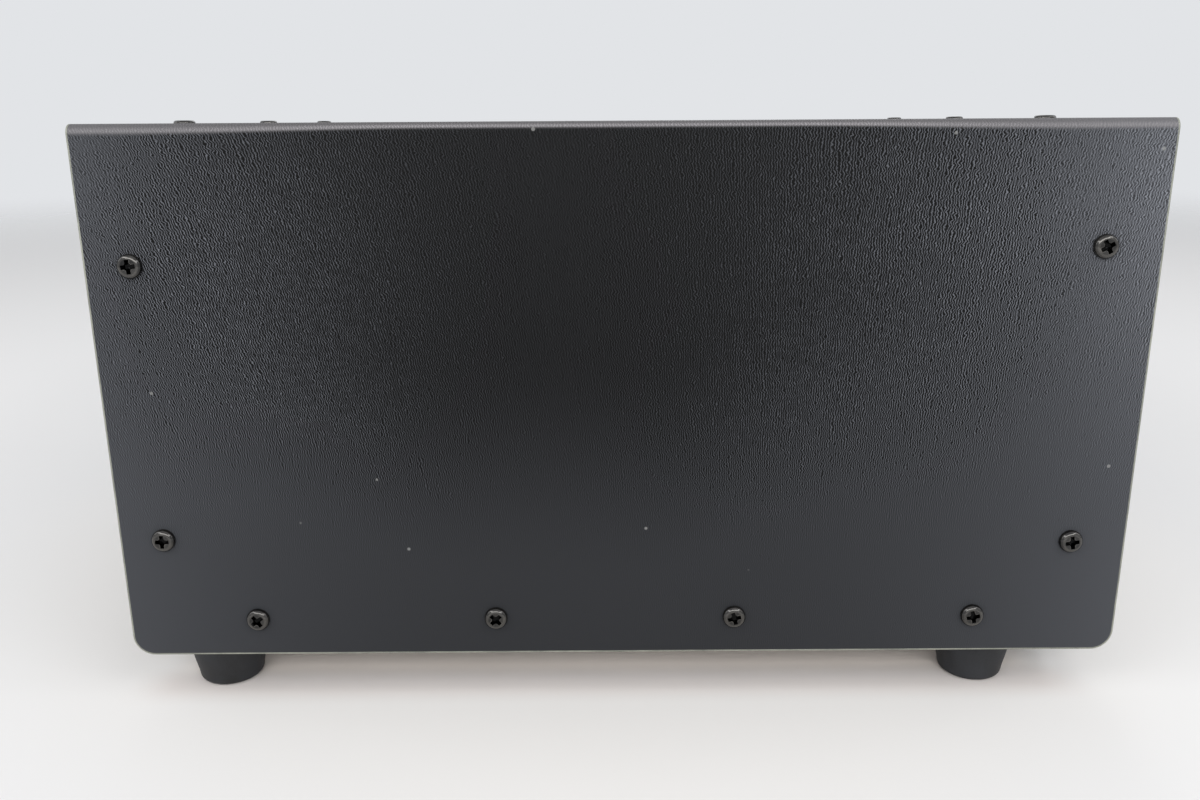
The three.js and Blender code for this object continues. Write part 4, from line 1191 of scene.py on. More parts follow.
def makeTuningKnob(name, shape, x, z):
    r, face, skirt, cap = pick(shape, "radius face skirt cap")
    knob = {"body": f"{name}_knob"}
    profile = [(0, -6.8), (skirt - 0.5, -6.8), (skirt, -7.3), (skirt, -9.1), (skirt - 0.4, -9.5), (r + 0.1, -9.7)]
    profile += [(r, -10.4)] + [(r, -10.4 - 1.4 * i) for i in range(1, 7)]
    profile += [(r, -19.8), (r - 0.15, -20.8), (r - 0.7, -21.5)]
    profile += [(cap + 2.6, face + 0.55), (cap + 1.9, face + 0.1), (cap + 1.2, face), (cap + 0.5, face + 0.15),
                (cap + 0.2, face + 0.7), (0, face + 0.7)]
    grip = turned(profile, sides=14 * 16, smooth=40)
    grow(grip, fluter, Flutes=shape["flutes"], Depth=shape["depth"], From=-21.2, To=-9.8)
    shade(grip, 45)
    mount(moved(grip, x, 0, z), f"{name}TuningGrip", knobPlastic, "knob_plastic", f"{name}_knob", **knob)
    disc = [(0, face + 0.12), (cap - 0.4, face + 0.06), (cap, face + 0.3), (cap, face + 0.9), (0, face + 0.9)]
    mount(spin(turned(disc, (x, 0, z), 96), x, z), f"{name}TuningCap", spunAluminium, "dial_metal", **knob)
    lines = merge([block((-0.45, 0.45), (-22.4, -21.2), (13.9, 15.2)),
                   block((-0.45, 0.45), (-9.62, -9.3), (16.1, 16.8))])
    mount(moved(lines, x, 0, z), f"{name}TuningLine", whiteInk, **knob)
    shaft = turned([(0, -7.4), (2.8, -7.4), (2.8, 11.2), (2.5, 11.5), (0, 11.5)], (x, 0, z), 40)
    mount(spin(shaft, x, z), f"{name}KnobShaft", spunAluminium, "shaft_metal", **knob)


def makeTuningDial(name, shape, x, z):
    inner, outer, front, rim, back = pick(shape, "inner outer front rim back")
    profile = [(3.3, front + 0.2), (3.5, front), (inner - 1.2, front), (inner - 0.9, front + 0.25),
               (inner - 0.3, front + 0.25), (inner, front), (outer - 0.1, rim - 0.1), (outer, rim + 0.15),
               (outer, back - 0.2), (outer - 0.2, back), (6.5, back), (6.5, 11.8), (6.3, 12), (3.5, 12), (3.3, 11.8),
               (3.3, front + 0.2)]
    disc = spin(turned(profile, (x, 0, z), 128, 30), x, z)
    body = f"{name}_tuning"
    mount(disc, f"{name}TuningDial", spunAluminium, "dial_metal", f"{name}_dial", body=body)
    slope = (rim - front) / (outer - inner)
    lean, step = -math.atan2(rim - front, outer - inner), -pi / shape["divisions"]

    def laidAt(radius):
        return -(front + slope * (radius - inner)) - 0.02

    marks = [moved(ticks(count, 0.0, step * every, radius, width, length, 0.16, lean), z=laidAt(radius))
             for count, every, radius, width, length in shape["marks"]]
    at = shape["figures"]
    marks += [onDial(figure(str(10 * i), 2.5, 0.16), i * step * 5, at, laidAt(at), lean) for i in range(11)]
    printOn(f"{name}DialMarks", marks, (x, 0, z), blackInk, body=body)


for name, place in tuningPlaces.items():
    makeTuningKnob(name, tuningKnob, *place)
    makeTuningDial(name, tuningDial, *place)


# Band switch knob: a bar with a white line, on a flared skirt

bandKnob = {"rest": math.radians(-75), "step": math.radians(30), "positions": 6, "skirt": 18, "bar": (9, 34)}


def makeBandKnob(shape, x, z):
    wide, rest = shape["skirt"], shape["rest"]
    profile = [(3.5, -8.9), (14.6, -9), (15, -8.7), (16, -7.2), (wide - 0.3, -4.3), (wide, -3.7), (wide, -1.1),
               (wide - 0.4, -0.7), (3.5, -0.7), (3.5, -8.9)]
    skirt = turned(profile, sides=96, smooth=30)
    bar = combine(plate((0, 0), shape["bar"], 3.2, (-20, -8.5), 8), [hole(3.5, (0, 0), (-14, 0))])
    knob = merge([skirt, bevel(bar, 1.1, 4, 40)])
    line = slab(rounded((-0.5, 0.5), (1.5, 15.6), 0.4), (-20.08, -19.8))
    for piece, *more in ((knob, "bandKnobBar", knobPlastic, "knob_plastic", "band_knob"),
                         (line, "bandKnobLine", whiteInk)):
        mount(moved(piece, x, 0, z, Matrix.Rotation(rest, 4, "Y")), *more, body="band_selector")
    marks = [ticks(shape["positions"], rest, shape["step"], 20.6, 0.6, 2.2, 0.08)]
    marks += [onDial(figure(str(i + 1), 4.6, 0.08), rest + shape["step"] * i, 25.4) for i in range(shape["positions"])]
    printOn("bandMarks", marks, (x, panelShape["front"] - 0.03, z), whiteInk)


makeBandKnob(bandKnob, *bandPlace)
mount(merge([slab([(x - 1.5, z + 33.2), (x, z + 29.4), (x + 1.5, z + 33.2)], (0.94, 1.02))
             for x, z in tuningPlaces.values()]), "dialIndexes", whiteInk)
print("knobs and dials are turned")


# Rocker switches and the transmit lamp

rockerShape = {"bezel": (24, 33), "front": -0.9, "pocket": (17, 26.8), "body": (20, 29), "tilt": math.radians(8),
               "pivot": 3, "markAt": (-5.22, 7.6), "markTilt": math.radians(11.8)}
rockerPlastic = moulded("rockerPlastic", "1a1a1b", "29292b", (0.26, 0.36), 2600.0, 150.0, 0.06, wear=0.4, worn="707072",
                        dusty=0.1)
lampRed = moulded("lampRed", "8c0f0c", "c4211a", (0.08, 0.16), 900.0, 120.0, 0.03, Coat_Weight=0.6, Coat_Roughness=0.05)
chromePlate = moulded("chromePlate", "b9bcc0", "dcdfe2", (0.08, 0.2), 900.0, 150.0, 0.03, metallic=1.0, dusty=0.1)


def makeRocker(name, shape, x, z):
    front = shape["front"]
    (across, up), (wide, high) = shape["body"], shape["pocket"]
    ring = bevel(plate((x, z), shape["bezel"], 1.6, (front, 0.7)), 0.5, 3)
    combine(ring, [block(around(x, across), (0.3, 24), around(z, up))], "UNION")
    combine(ring, [block(around(x, wide), (front - 1, 10), around(z, high))])
    bevel(ring, 0.22, 2, 50)
    mount(ring, f"{name}SwitchBody", rockerPlastic, "switch_plastic", f"{name}_switch")
    outline = curve((-6.4, 12), (-2.4, 0), (-6.4, -12), 16)
    outline += [(-5, -12.2), (0.5, -8.5), (3.5, 0), (0.5, 8.5), (-5, 12.2)]
    paddle = bevel(slab(outline, around(0, 16.4), "x"), 0.4, 2, 30)
    out, mark = shape["markAt"]
    stroke = slab(rounded((-0.55, 0.55), (-2.1, 2.1), 0.3), (-0.12, 0.4))
    moved(stroke, 0, out, mark, Matrix.Rotation(shape["markTilt"], 4, "X"))
    zero = slab(arc((0, 0), 2.3, 0, 2 * pi * 31 / 32, 31), (-0.12, 0.4))
    combine(zero, [hole(1.45, (0, 0), (-1, 1), 32)])
    moved(zero, 0, out, -mark, Matrix.Rotation(-shape["markTilt"], 4, "X"))
    for piece, *more in ((paddle, f"{name}Rocker", rockerPlastic, "rocker_plastic", f"{name}_rocker"),
                         (merge([stroke, zero]), f"{name}RockerMarks", whiteInk)):
        moved(piece, x, shape["pivot"], z, Matrix.Rotation(shape["tilt"], 4, "X"))
        mount(piece, *more, body=f"{name}_rocker")


def makeLamp(x, z):
    dome = [(4.15 * math.sin(angle), -1.4 - 3.1 * math.cos(angle)) for angle in [pi / 20 * i for i in range(1, 11)]]
    lens = turned([(0, -4.5), *dome, (4.2, 0.4), (4.4, 0.6), (4.4, 14), (0, 14)], (x, 0, z), 48, 40)
    mount(lens, "transmitLens", lampRed, "lamp_red", "transmit_lamp")
    ring = [(4.3, -1.9), (4.6, -2.2), (5.2, -2.1), (6.3, -1.3), (6.5, -0.9), (6.5, 0.7), (4.5, 0.7), (4.3, -1.9)]
    mount(turned(ring, (x, 0, z), 64, 40), "transmitBezel", chromePlate)


for name, place in rockerPlaces.items():
    makeRocker(name, rockerShape, *place)
makeLamp(*lampPlace)
print("switches and lamp are in")


# Tubes and rings that follow a path, and copies set round an axis

def makeTubeSetter():
    tree, given = newShaper("tubeSetter", Radius=1.0, Sides=12)
    path = add(tree, "GeometryNodeMeshToCurve", {0: given["Geometry"]})[0]
    ring = add(tree, "GeometryNodeCurvePrimitiveCircle", {"Resolution": given["Sides"], "Radius": given["Radius"]})[0]
    tube = add(tree, "GeometryNodeCurveToMesh", {"Curve": path, "Profile Curve": ring, "Fill Caps": True})[0]
    return endShaper(tree, add(tree, "GeometryNodeSetShadeSmooth", {"Geometry": tube})[0], given)


def makeRingSetter():
    # copies of a piece turned evenly round the y axis
    tree, given = newShaper("ringSetter", Piece="Object", Count=7, Start=0.0)
    points = add(tree, "GeometryNodePoints", {"Count": given["Count"]})[0]
    share = add(tree, "GeometryNodeInputIndex")[0] / given["Count"]
    turn = turnAbout(tree, (0, 1, 0), given["Start"] + share * (2 * pi))
    return endShaper(tree, onPoints(points, shapeOf(given["Piece"]), Rotation=turn), given)


tubeSetter = makeTubeSetter()
ringSetter = makeRingSetter()


def tube(points, radius, closed=False, sides=12):
    edges = [(i, i + 1) for i in range(len(points) - 1)] + ([(len(points) - 1, 0)] if closed else [])
    path = grow(pathOf(points, edges), tubeSetter, Radius=float(radius), Sides=sides)
    tidy(path)
    shade(path, 50)
    return path


def copiesRound(piece, count, start=0.0):
    made = grow(seedPoint(), ringSetter, Piece=piece, Count=count, Start=start)
    bpy.data.objects.remove(piece)
    return made


def circle(radius, x, y, z, steps):
    angles = [2 * pi * i / steps for i in range(steps)]
    return [(x + radius * math.sin(angle), y, z + radius * math.cos(angle)) for angle in angles]


# Rear panel: brushed aluminium, with its edges bent forwards under the cover

rearShape = {**panelShape, "outer": 380, "inner": 378, "flangeFront": 354}
onRear = 380.3
fanPlace = (87, 112)
fanPitch = 35.75       # from the fan's middle to its screws
socketPlaces = {"input": (62, 42), "output": (128, 42)}
phonoPlace = (12, 42)
groundPlace = (-22, 42)
fusePlace = (-60, 45)
inletPlace = (-120, 45)
rearAluminium = brushed("rearAluminium", "8f9193", "b9bbbd", (40.0, 2600.0, 2600.0), (0.28, 0.42), 0.12, dusty=0.1)
rearSteel = moulded("rearScrewSteel", "9a9c9e", "c4c6c8", (0.2, 0.34), 2500.0, 250.0, 0.08, metallic=1.0)


def makeRearPanel(shape):
    outer = shape["outer"]
    panel = pan(shape, outer, shape["inner"], shape["flangeFront"], -1)
    through = (shape["inner"] - 1, outer + 1)
    (x, z), (across, up) = fanPlace, phonoPlace
    cuts = [hole(37, fanPlace, through, 128)]
    cuts += [hole(2.4, (x + dx, z + dz), through, 24) for dx, dz in pairs(fanPitch)]
    cuts += [hole(6.8, middle, through) for middle in socketPlaces.values()]
    cuts += [hole(3.6, (across + side, up), through, 32) for side in (-10, 10)]
    cuts += [hole(3.4, groundPlace, through, 32), hole(6.8, fusePlace, through)]
    combine(panel, cuts + [plate(inletPlace, (28.4, 20.4), 1, through)])
    bevel(panel, 0.22, 2)
    mount(panel, "rearPanel", rearAluminium, "rear_aluminium", "rear_panel")
    panelScrews("rearPanelScrews", shape, outer, 1, 21)
    x, z = groundPlace
    lines = [block(around(0, wide), around(high, 0.5), (0, 0.06)) for wide, high in ((6, 0), (4, -1.3), (2, -2.6))]
    lines.append(block(around(0, 0.5), (0, 3), (0, 0.06)))
    printOn("groundMark", lines, (x, outer - 0.02, z + 14), blackInk, ontoRear)


makeRearPanel(rearShape)


# Fan: a moulded frame, a twisted seven-bladed wheel, and a wire guard

fanShape = {"size": 80, "corner": 5, "front": 352.7, "back": 377.7, "bore": 38.2, "strut": 3, "motor": 16,
            "hub": 17, "blades": 7, "root": 15.5, "tip": 36.7, "chord": 17, "camber": 3, "twist": (0.95, 0.6),
            "sections": 9, "wire": 1.1, "guardRings": (12, 24, 36), "guard": 381.4}
fanPlastic = moulded("fanPlastic", "141416", "222225", (0.4, 0.55), 1800.0, 60.0, 0.1,
                     wear=0.35, worn="5c5c5e", dusty=0.2)
guardChrome = moulded("guardChrome", "a8abae", "d6d8da", (0.1, 0.24), 900.0, 180.0, 0.04, metallic=1.0, dusty=0.15)


def makeFanFrame(shape, x, z):
    front, back, bore, size = pick(shape, "front back bore size")
    box = plate((0, 0), (size, size), shape["corner"], (front, back), 8)
    funnel = [(bore + 1.6, front - 1), (bore + 1.6, front), (bore, front + 2.4), (bore, back - 2.4), (bore + 1.4, back),
              (bore + 1.4, back + 1), (0, back + 1), (0, front - 1), (bore + 1.6, front - 1)]
    cuts = [turned(funnel, sides=128)] + [hole(2.2, middle, (front - 1, back + 1), 24) for middle in pairs(fanPitch)]
    for side in (-1, 1):
        edge, waist = around(side * (size / 2 + 1), 4.4), (front + 4, back - 4)
        cuts += [block(edge, waist, around(0, 47)), block(around(0, 47), waist, edge)]
    combine(box, cuts)
    low, high, r = back - 4, back - 0.5, shape["motor"]
    long, thin = around(0, 78), around(0, shape["strut"])
    seat = [(0, low), (r, low), (r, high - 0.6), (r - 0.6, high), (r - 2, high), (r - 2.4, high - 0.5), (0, high - 0.5)]
    combine(box, [block(long, (low, high), thin), block(thin, (low, high), long), turned(seat, sides=72)], "UNION")
    bevel(box, 0.35, 2, 40)
    mount(moved(box, x, 0, z), "fanFrame", fanPlastic, "fan_plastic", "fan_frame")


def fanBlade(shape, middle):
    # cambered sections, twisted from the hub out and wrapped round the axis
    vertices, half, last = [], shape["chord"] / 2, shape["sections"] - 1
    for share in [i / last for i in range(last + 1)]:
        radius = shape["root"] + (shape["tip"] - shape["root"]) * share
        angle = shape["twist"][0] + (shape["twist"][1] - shape["twist"][0]) * share
        upper, lower = [], []
        for t in [i / 12 for i in range(13)]:
            along = -half + 2 * half * t
            rise = shape["camber"] * (4 * t * (1 - t) - 1) + 0.7
            thick = 0.75 * (1 - t) ** 0.5 * t ** 0.25 * 1.5 + 0.12
            upper.append((along, rise + thick))
            lower.append((along, rise - thick))
        for along, rise in upper + lower[::-1]:
            turn = (along * math.cos(angle) - rise * math.sin(angle)) / radius
            back = along * math.sin(angle) + rise * math.cos(angle)
            vertices.append((radius * math.sin(turn), middle + back, radius * math.cos(turn)))
    count = 26
    faces = [tuple(range(count))[::-1], tuple(range(last * count, (last + 1) * count))]
    for low in range(0, last * count, count):
        for i in range(count):
            after = (i + 1) % count
            faces.append((low + i, low + after, low + count + after, low + count + i))
    blade = newObject(vertices, faces)
    shade(blade, 50)
    return blade


def makeImpeller(shape, x, z):
    front, back, hub = shape["front"] + 1, shape["back"] - 5, shape["hub"]
    profile = [(0, front + 0.4), (9, front + 0.4), (9.6, front), (14, front), (15.6, front + 0.8), (hub, front + 2.6),
               (hub, back - 0.4), (hub - 0.4, back), (0, back)]
    blade = fanBlade(shape, (shape["front"] + shape["back"]) / 2 - 2)
    wheel = merge([turned(profile, sides=96, smooth=30), copiesRound(blade, shape["blades"])])
    mount(moved(wheel, x, 0, z), "fanWheel", fanPlastic, "fan_plastic", "fan_impeller", body="fan_impeller")


def makeGuard(shape, x, z):
    wire, y = shape["wire"], shape["guard"]
    corners = [(x + dx, z + dz) for dx, dz in pairs(fanPitch)]
    wires = [tube(circle(r, x, y, z, 96), wire, True) for r in shape["guardRings"]]
    wires += [tube([(x + s * 33.6, y + 0.6, z + way * s * 33.6) for s in (-1, 1)], wire) for way in (-1, 1)]
    wires += [tube(circle(3.1, cx, y, cz, 36), wire, True, 10) for cx, cz in corners]
    mount(merge(wires), "fanGuardWires", guardChrome, "guard_wire", "fan_guard")
    screws("fanGuardScrews", [((cx, y + 0.95, cz), (0, 1, 0)) for cx, cz in corners], 0.7, screwSteel, 22)


for makePiece in (makeFanFrame, makeImpeller, makeGuard):
    makePiece(fanShape, *fanPlace)
print("the rear panel and its fan are in")


# Coaxial sockets: a screwed flange, a threaded and notched barrel, and a tubular contact

coaxialShape = {"flange": 25.4, "end": 394, "barrel": 7.9, "bore": 6.2, "pitch": 1.06, "depth": 0.42, "hole": 9.1}
nickelPlate = moulded("nickelPlate", "a9a79f", "cfccc2", (0.16, 0.3), 1200.0, 160.0, 0.06, metallic=1.0, wear=0.3,
                      worn="b59c62", dusty=0.12)
whiteInsulator = moulded("whiteInsulator", "dcd8cc", "ebe8df", (0.45, 0.6), 1500.0, 120.0, 0.06)
blackInsulator = moulded("blackInsulator", "1b1a19", "2c2a28", (0.4, 0.55), 1800.0, 140.0, 0.08)
brassLacquer = moulded("brassLacquer", "a07f3c", "c9a65a", (0.18, 0.32), 1400.0, 90.0, 0.06, metallic=1.0, wear=0.3,
                       worn="d9bd7c", dusty=0.12)


def threaded(low, high, radius, pitch, depth):
    # the zigzag side of a screw thread
    side, at = [(radius - depth, low)], low
    while at + pitch < high:
        side += [(radius, at + pitch * 0.35), (radius, at + pitch * 0.5), (radius - depth, at + pitch * 0.9)]
        at += pitch
    return side + [(radius - depth, high)]


def makeCoaxialSocket(name, shape, x, z):
    end, outer, inner, size = pick(shape, "end barrel bore flange")
    places = pairs(shape["hole"])
    flange = plate((0, 0), (size, size), 1.2, (onRear, onRear + 1.6), 4)
    combine(flange, [hole(1.6, place, (onRear - 1, onRear + 3), 20) for place in places])
    bevel(flange, 0.25, 2)
    profile = [(inner - 0.1, onRear + 0.6), (outer + 0.3, onRear + 0.6), (outer + 0.3, onRear + 2.6)]
    profile += threaded(onRear + 2.6, end - 0.5, outer, shape["pitch"], shape["depth"])
    profile += [(outer - 0.8, end), (inner + 0.1, end), (inner, end - 0.2), (inner - 0.1, onRear + 0.6)]
    barrel, notch = turned(profile, sides=72, smooth=30), (end - 0.9, end + 1)
    combine(barrel, [block(around(0, 20), notch, around(0, 1.3)), block(around(0, 1.3), notch, around(0, 20))])
    tail = turned([(0, onRear - 11), (6, onRear - 11), (6, onRear + 0.3), (0, onRear + 0.3)], sides=48)
    shell = moved(merge([flange, barrel, tail]), x, 0, z)
    shade(shell, 30)
    mount(shell, f"{name}SocketShell", nickelPlate, "socket_metal", f"rf_{name}_socket")
    core = [(0, end - 9), (inner - 0.05, end - 9), (inner - 0.05, end - 4.1), (inner - 0.4, end - 3.8),
            (3.1, end - 3.8), (2.9, end - 4.4), (0, end - 4.4)]
    mount(turned(core, (x, 0, z), 64, 40), f"{name}SocketInsulator", whiteInsulator)
    pin = [(0, onRear - 18), (1.5, onRear - 18), (1.5, onRear - 10.8), (2.5, onRear - 10.8), (2.5, end - 1.7),
           (2.3, end - 1.5), (1.9, end - 1.7), (1.9, end - 9), (0, end - 9)]
    mount(turned(pin, (x, 0, z), 40, 40), f"{name}SocketContact", brassLacquer, "socket_metal")
    heads = [((x + dx, onRear + 1.6, z + dz), (0, 1, 0)) for dx, dz in places]
    screws(f"{name}SocketScrews", heads, 0.55, rearSteel, 23)


for name, place in socketPlaces.items():
    makeCoaxialSocket(name, coaxialShape, *place)


# Phono sockets, ground terminal, fuse and mains inlet

phonoShape = {"plate": (42, 16), "corner": 3, "spread": 10, "end": 389.8, "outer": 4.1, "inner": 3.2, "core": 386.8}
groundShape = {"stud": 2.9, "end": 391.8, "nut": 5.4, "washer": 7}
fuseShape = {"rim": 8.5, "rimEnd": 383.3, "bore": 4.8, "back": 348.3, "cap": 7.2, "capEnd": 392.3, "carrierEnd": 356.3}
inletShape = {"flange": (50, 24), "corner": 4, "front": 382.3, "cavity": (24.6, 16.6), "cavityBack": 365.3,
              "screws": 20, "blades": ((-7, -2), (0, 2), (7, -2))}
fusePlastic = moulded("fusePlastic", "151515", "242424", (0.28, 0.42), 2000.0, 120.0, 0.07, wear=0.45, worn="5e5e60",
                      dusty=0.15)
inletPlastic = moulded("inletPlastic", "161617", "252527", (0.38, 0.5), 1600.0, 80.0, 0.1, wear=0.35, worn="5a5a5c",
                       dusty=0.15)
fuseGlass = paneFinish("fuseGlass", "f2f6f4")


def makePhonoJacks(shape, x, z):
    board = bevel(plate((x, z), shape["plate"], shape["corner"], (onRear, onRear + 1.5)), 0.3, 2)
    mount(board, "phonoPlate", blackInsulator, "phono_metal", "phono_jacks")
    outer, inner, end, face = pick(shape, "outer inner end core")
    shell = [(inner, onRear + 1), (outer + 1.1, onRear + 1), (outer + 1.1, onRear + 2.1), (outer, onRear + 2.3),
             (outer, end - 0.3), (outer - 0.3, end), (inner + 0.1, end), (inner, end - 0.2), (inner, onRear + 1)]
    tag = [(0, onRear - 7), (2.9, onRear - 7), (2.9, onRear + 0.2), (0, onRear + 0.2)]
    core = [(0, onRear + 3), (1.6, onRear + 3), (1.6, face - 0.2), (1.8, face), (inner - 0.05, face),
            (inner - 0.05, onRear + 1.2), (0, onRear + 1.2)]
    shells, cores = [], []
    for side in (-shape["spread"], shape["spread"]):
        middle = (x + side, 0, z)
        shells += [turned(shell, middle, 48, 40), turned(tag, middle, 32, 40)]
        cores.append(turned(core, middle, 40, 40))
    mount(merge(shells), "phonoShells", nickelPlate, "phono_metal")
    mount(merge(cores), "phonoInsulators", whiteInsulator)
    screws("phonoScrews", [((x + side, onRear + 1.5, z), (0, 1, 0)) for side in (-18, 18)], 0.5, rearSteel, 24)


def makeGroundTerminal(shape, x, z):
    r, end, wide, broad = pick(shape, "stud end nut washer")
    side = threaded(onRear + 1, end - 0.4, r, 0.8, 0.3)
    stud = [(0, 370), (r - 0.2, 370), (r - 0.2, onRear + 1)] + side + [(r - 0.6, end), (0, end)]
    washer = [(r - 0.4, onRear), (broad, onRear), (broad, onRear + 1.2), (broad - 0.2, onRear + 1.4),
              (r - 0.4, onRear + 1.4), (r - 0.4, onRear)]
    nut = [(r - 0.4, onRear + 1.5), (wide, onRear + 1.5), (wide, onRear + 3), (wide - 1, onRear + 6.6),
           (wide - 1.4, onRear + 7), (r - 0.4, onRear + 7), (r - 0.4, onRear + 1.5)]
    pieces = [turned(profile, sides=48) for profile in (stud, washer, nut)]
    wing = [(3.6, onRear + 2), (6, onRear + 2.4)]
    wing += curve((9, onRear + 4), (13.5, onRear + 12), (10, onRear + 12), 8)
    wing += [(8.6, onRear + 11.6), (3.6, onRear + 6.6)]
    for turn in (0, pi):
        pieces.append(moved(bevel(slab(wing, (-1.1, 1.1), "z"), 0.5, 3, 30), turn=Matrix.Rotation(turn, 4, "Y")))
    mount(moved(merge(pieces), x, 0, z), "groundTerminal", brassLacquer, "ground_brass", "ground_terminal")


def makeFuse(shape, x, z):
    rim, front, bore, back = pick(shape, "rim rimEnd bore back")
    middle, rides = (x, 0, z), {"body": "fuse_cap"}
    holder = [(0, back), (6.2, back), (6.2, onRear), (rim, onRear), (rim, front - 0.5), (rim - 0.5, front),
              (bore + 0.4, front), (bore, front - 0.4), (bore, onRear - 26), (0, onRear - 26)]
    mount(turned(holder, middle), "fuseHolder", fusePlastic, "fuse_plastic", "fuse_holder")
    cap, end, carrier, low = shape["cap"], shape["capEnd"], shape["carrierEnd"], front + 0.3
    profile = [(0, low), (cap - 0.3, low), (cap, low + 0.3)] + [(cap, low + 1 + i) for i in range(7)]
    grip = turned(profile + [(cap, end - 1), (cap - 0.9, end), (0, end)], sides=240, smooth=40)
    grow(grip, fluter, Flutes=24.0, Depth=0.45, From=low + 0.4, To=end - 0.6, Ease=0.6)
    combine(grip, [block(around(0, 1.3), (end - 1.3, end + 1), around(0, 9))])
    collar = turned([(0, 374), (4.2, 374), (4.2, low + 0.2), (0, low + 0.2)], sides=48)
    plug = moved(merge([grip, collar]), x, 0, z)
    shade(plug, 40)
    mount(plug, "fuseCapGrip", fusePlastic, "fuse_plastic", "fuse_cap", **rides)
    ends = [turned([(0, a), (3.2, a), (3.2, b), (0, b)], middle, 40) for a, b in ((carrier, carrier + 5), (369, 374.2))]
    mount(merge(ends), "fuseEnds", nickelPlate, **rides)
    glass = [(2.5, carrier + 4.8), (3.0, carrier + 4.8), (3.0, 369.2), (2.5, 369.2), (2.5, carrier + 4.8)]
    mount(turned(glass, middle, 40), "fuseGlass", fuseGlass, **rides)
    wire = [(x + 0.25 * math.sin(i), carrier + 4.5 + i * 0.835, z + 0.25 * math.cos(i)) for i in range(12)]
    mount(tube(wire, 0.18, sides=8), "fuseWire", nickelPlate, **rides)


def makeInlet(shape, x, z):
    front, deep, sides = shape["front"], shape["cavityBack"], (-shape["screws"], shape["screws"])
    flange = bevel(plate((x, z), shape["flange"], shape["corner"], (onRear, front), 8), 0.5, 3)
    combine(flange, [block(around(x, 27.6), (onRear - 18, onRear + 1), around(z, 19.6))], "UNION")
    (left, right), (low, top) = (around(at, size) for at, size in zip((x, z), shape["cavity"]))
    opening = [(left, low), (right, low), (right, top - 4.6), (right - 4.6, top), (left + 4.6, top), (left, top - 4.6)]
    sunk = [(0, onRear - 1), (1.8, onRear - 1), (1.8, front - 1.2), (3.3, front + 0.2), (0, front + 0.2)]
    combine(flange, [slab(opening, (deep, front + 1))] + [turned(sunk, (x + side, 0, z), 40) for side in sides])
    bevel(flange, 0.22, 2, 50)
    mount(flange, "inletShell", inletPlastic, "inlet_plastic", "mains_inlet")
    blades = [bevel(block(around(x + across, 2), (deep - 1, front - 3), around(z + up, 4)), 0.45, 3)
              for across, up in shape["blades"]]
    mount(merge(blades), "inletBlades", nickelPlate)
    screws("inletScrews", [((x + side, front - 0.9, z), (0, 1, 0)) for side in sides], 0.6, rearSteel, 25)


makePhonoJacks(phonoShape, *phonoPlace)
makeGroundTerminal(groundShape, *groundPlace)
makeFuse(fuseShape, *fusePlace)
makeInlet(inletShape, *inletPlace)
print("the rear fittings are in")


# Inside: the chassis tray, and the deck that the valves stand on

def makeStackSetter():
    # copies of a piece, each one step along from the last
    tree, given = newShaper("stackSetter", Piece="Object", Count=4, Step=(0.0, 0.0, 1.0), Rows=1,
                            Row_Step=(0.0, 0.0, 0.0))
    index = add(tree, "GeometryNodeInputIndex")[0]
    row = maths("FLOOR", (index + 0.5) / given["Count"])
    column = index - row * given["Count"]
    place = vectors("ADD", scaled(given["Step"], column), scaled(given["Row Step"], row))
    points = add(tree, "GeometryNodePoints", {"Count": given["Count"] * given["Rows"], "Position": place})[0]
    return endShaper(tree, onPoints(points, shapeOf(given["Piece"])), given)


stackSetter = makeStackSetter()


def stack(piece, count, step, rows=1, rowStep=(0, 0, 0)):
    step, rowStep = (tuple(map(float, way)) for way in (step, rowStep))
    made = grow(seedPoint(), stackSetter, Piece=piece, Count=count, Step=step, Rows=rows, Row_Step=rowStep)
    bpy.data.objects.remove(piece)
    return made


trayShape = {
    "half": 172.7, "front": 3.3, "back": 377.7, "foot": 1, "floor": 2.5, "top": 29, "sheet": 1.5, "corner": 1.6,
    "screws": ((-150, 90), (-46, 90), (-150, 204), (-46, 204), (10, 225), (164, 225), (10, 335), (164, 335),
               (-159, 244), (-48, 244), (-159, 337), (-48, 337)),
}
traySeat = 2.8         # where the pieces in the tray stand
deckShape = {"x": (6, 168), "y": (215, 345), "top": 38, "sheet": 1.5, "bend": 2.5, "ring": (23.4, 27, 46),
             "screws": 22.6}
valvePlaces = ((50, 282), (124, 282))
ceramic = moulded("glazedCeramic", "d3cdbd", "e6e1d4", (0.16, 0.3), 700.0, 60.0, 0.05, dusty=0.15, Coat_Weight=0.3,
                  Coat_Roughness=0.12)


def makeTray(shape):
    half, sheet, front, back, top = pick(shape, "half sheet front back top")
    tray = slab(rounded((-half, half), (front, back), shape["corner"], 5), (shape["foot"], top), "z")
    hollow = rounded((sheet - half, half - sheet), (front + sheet, back - sheet), 0.4, 3)
    combine(tray, [slab(hollow, (shape["floor"], top + 1), "z")])
    mount(bevel(tray, 0.3, 2), "chassisTray", zincPlate, "zinc_steel", "chassis")
    heads = [((x, y, shape["foot"]), (0, 0, -1)) for x, y in shape["screws"]]
    screws("trayScrews", heads, 0.7, zincPlate, 31, slot=None)


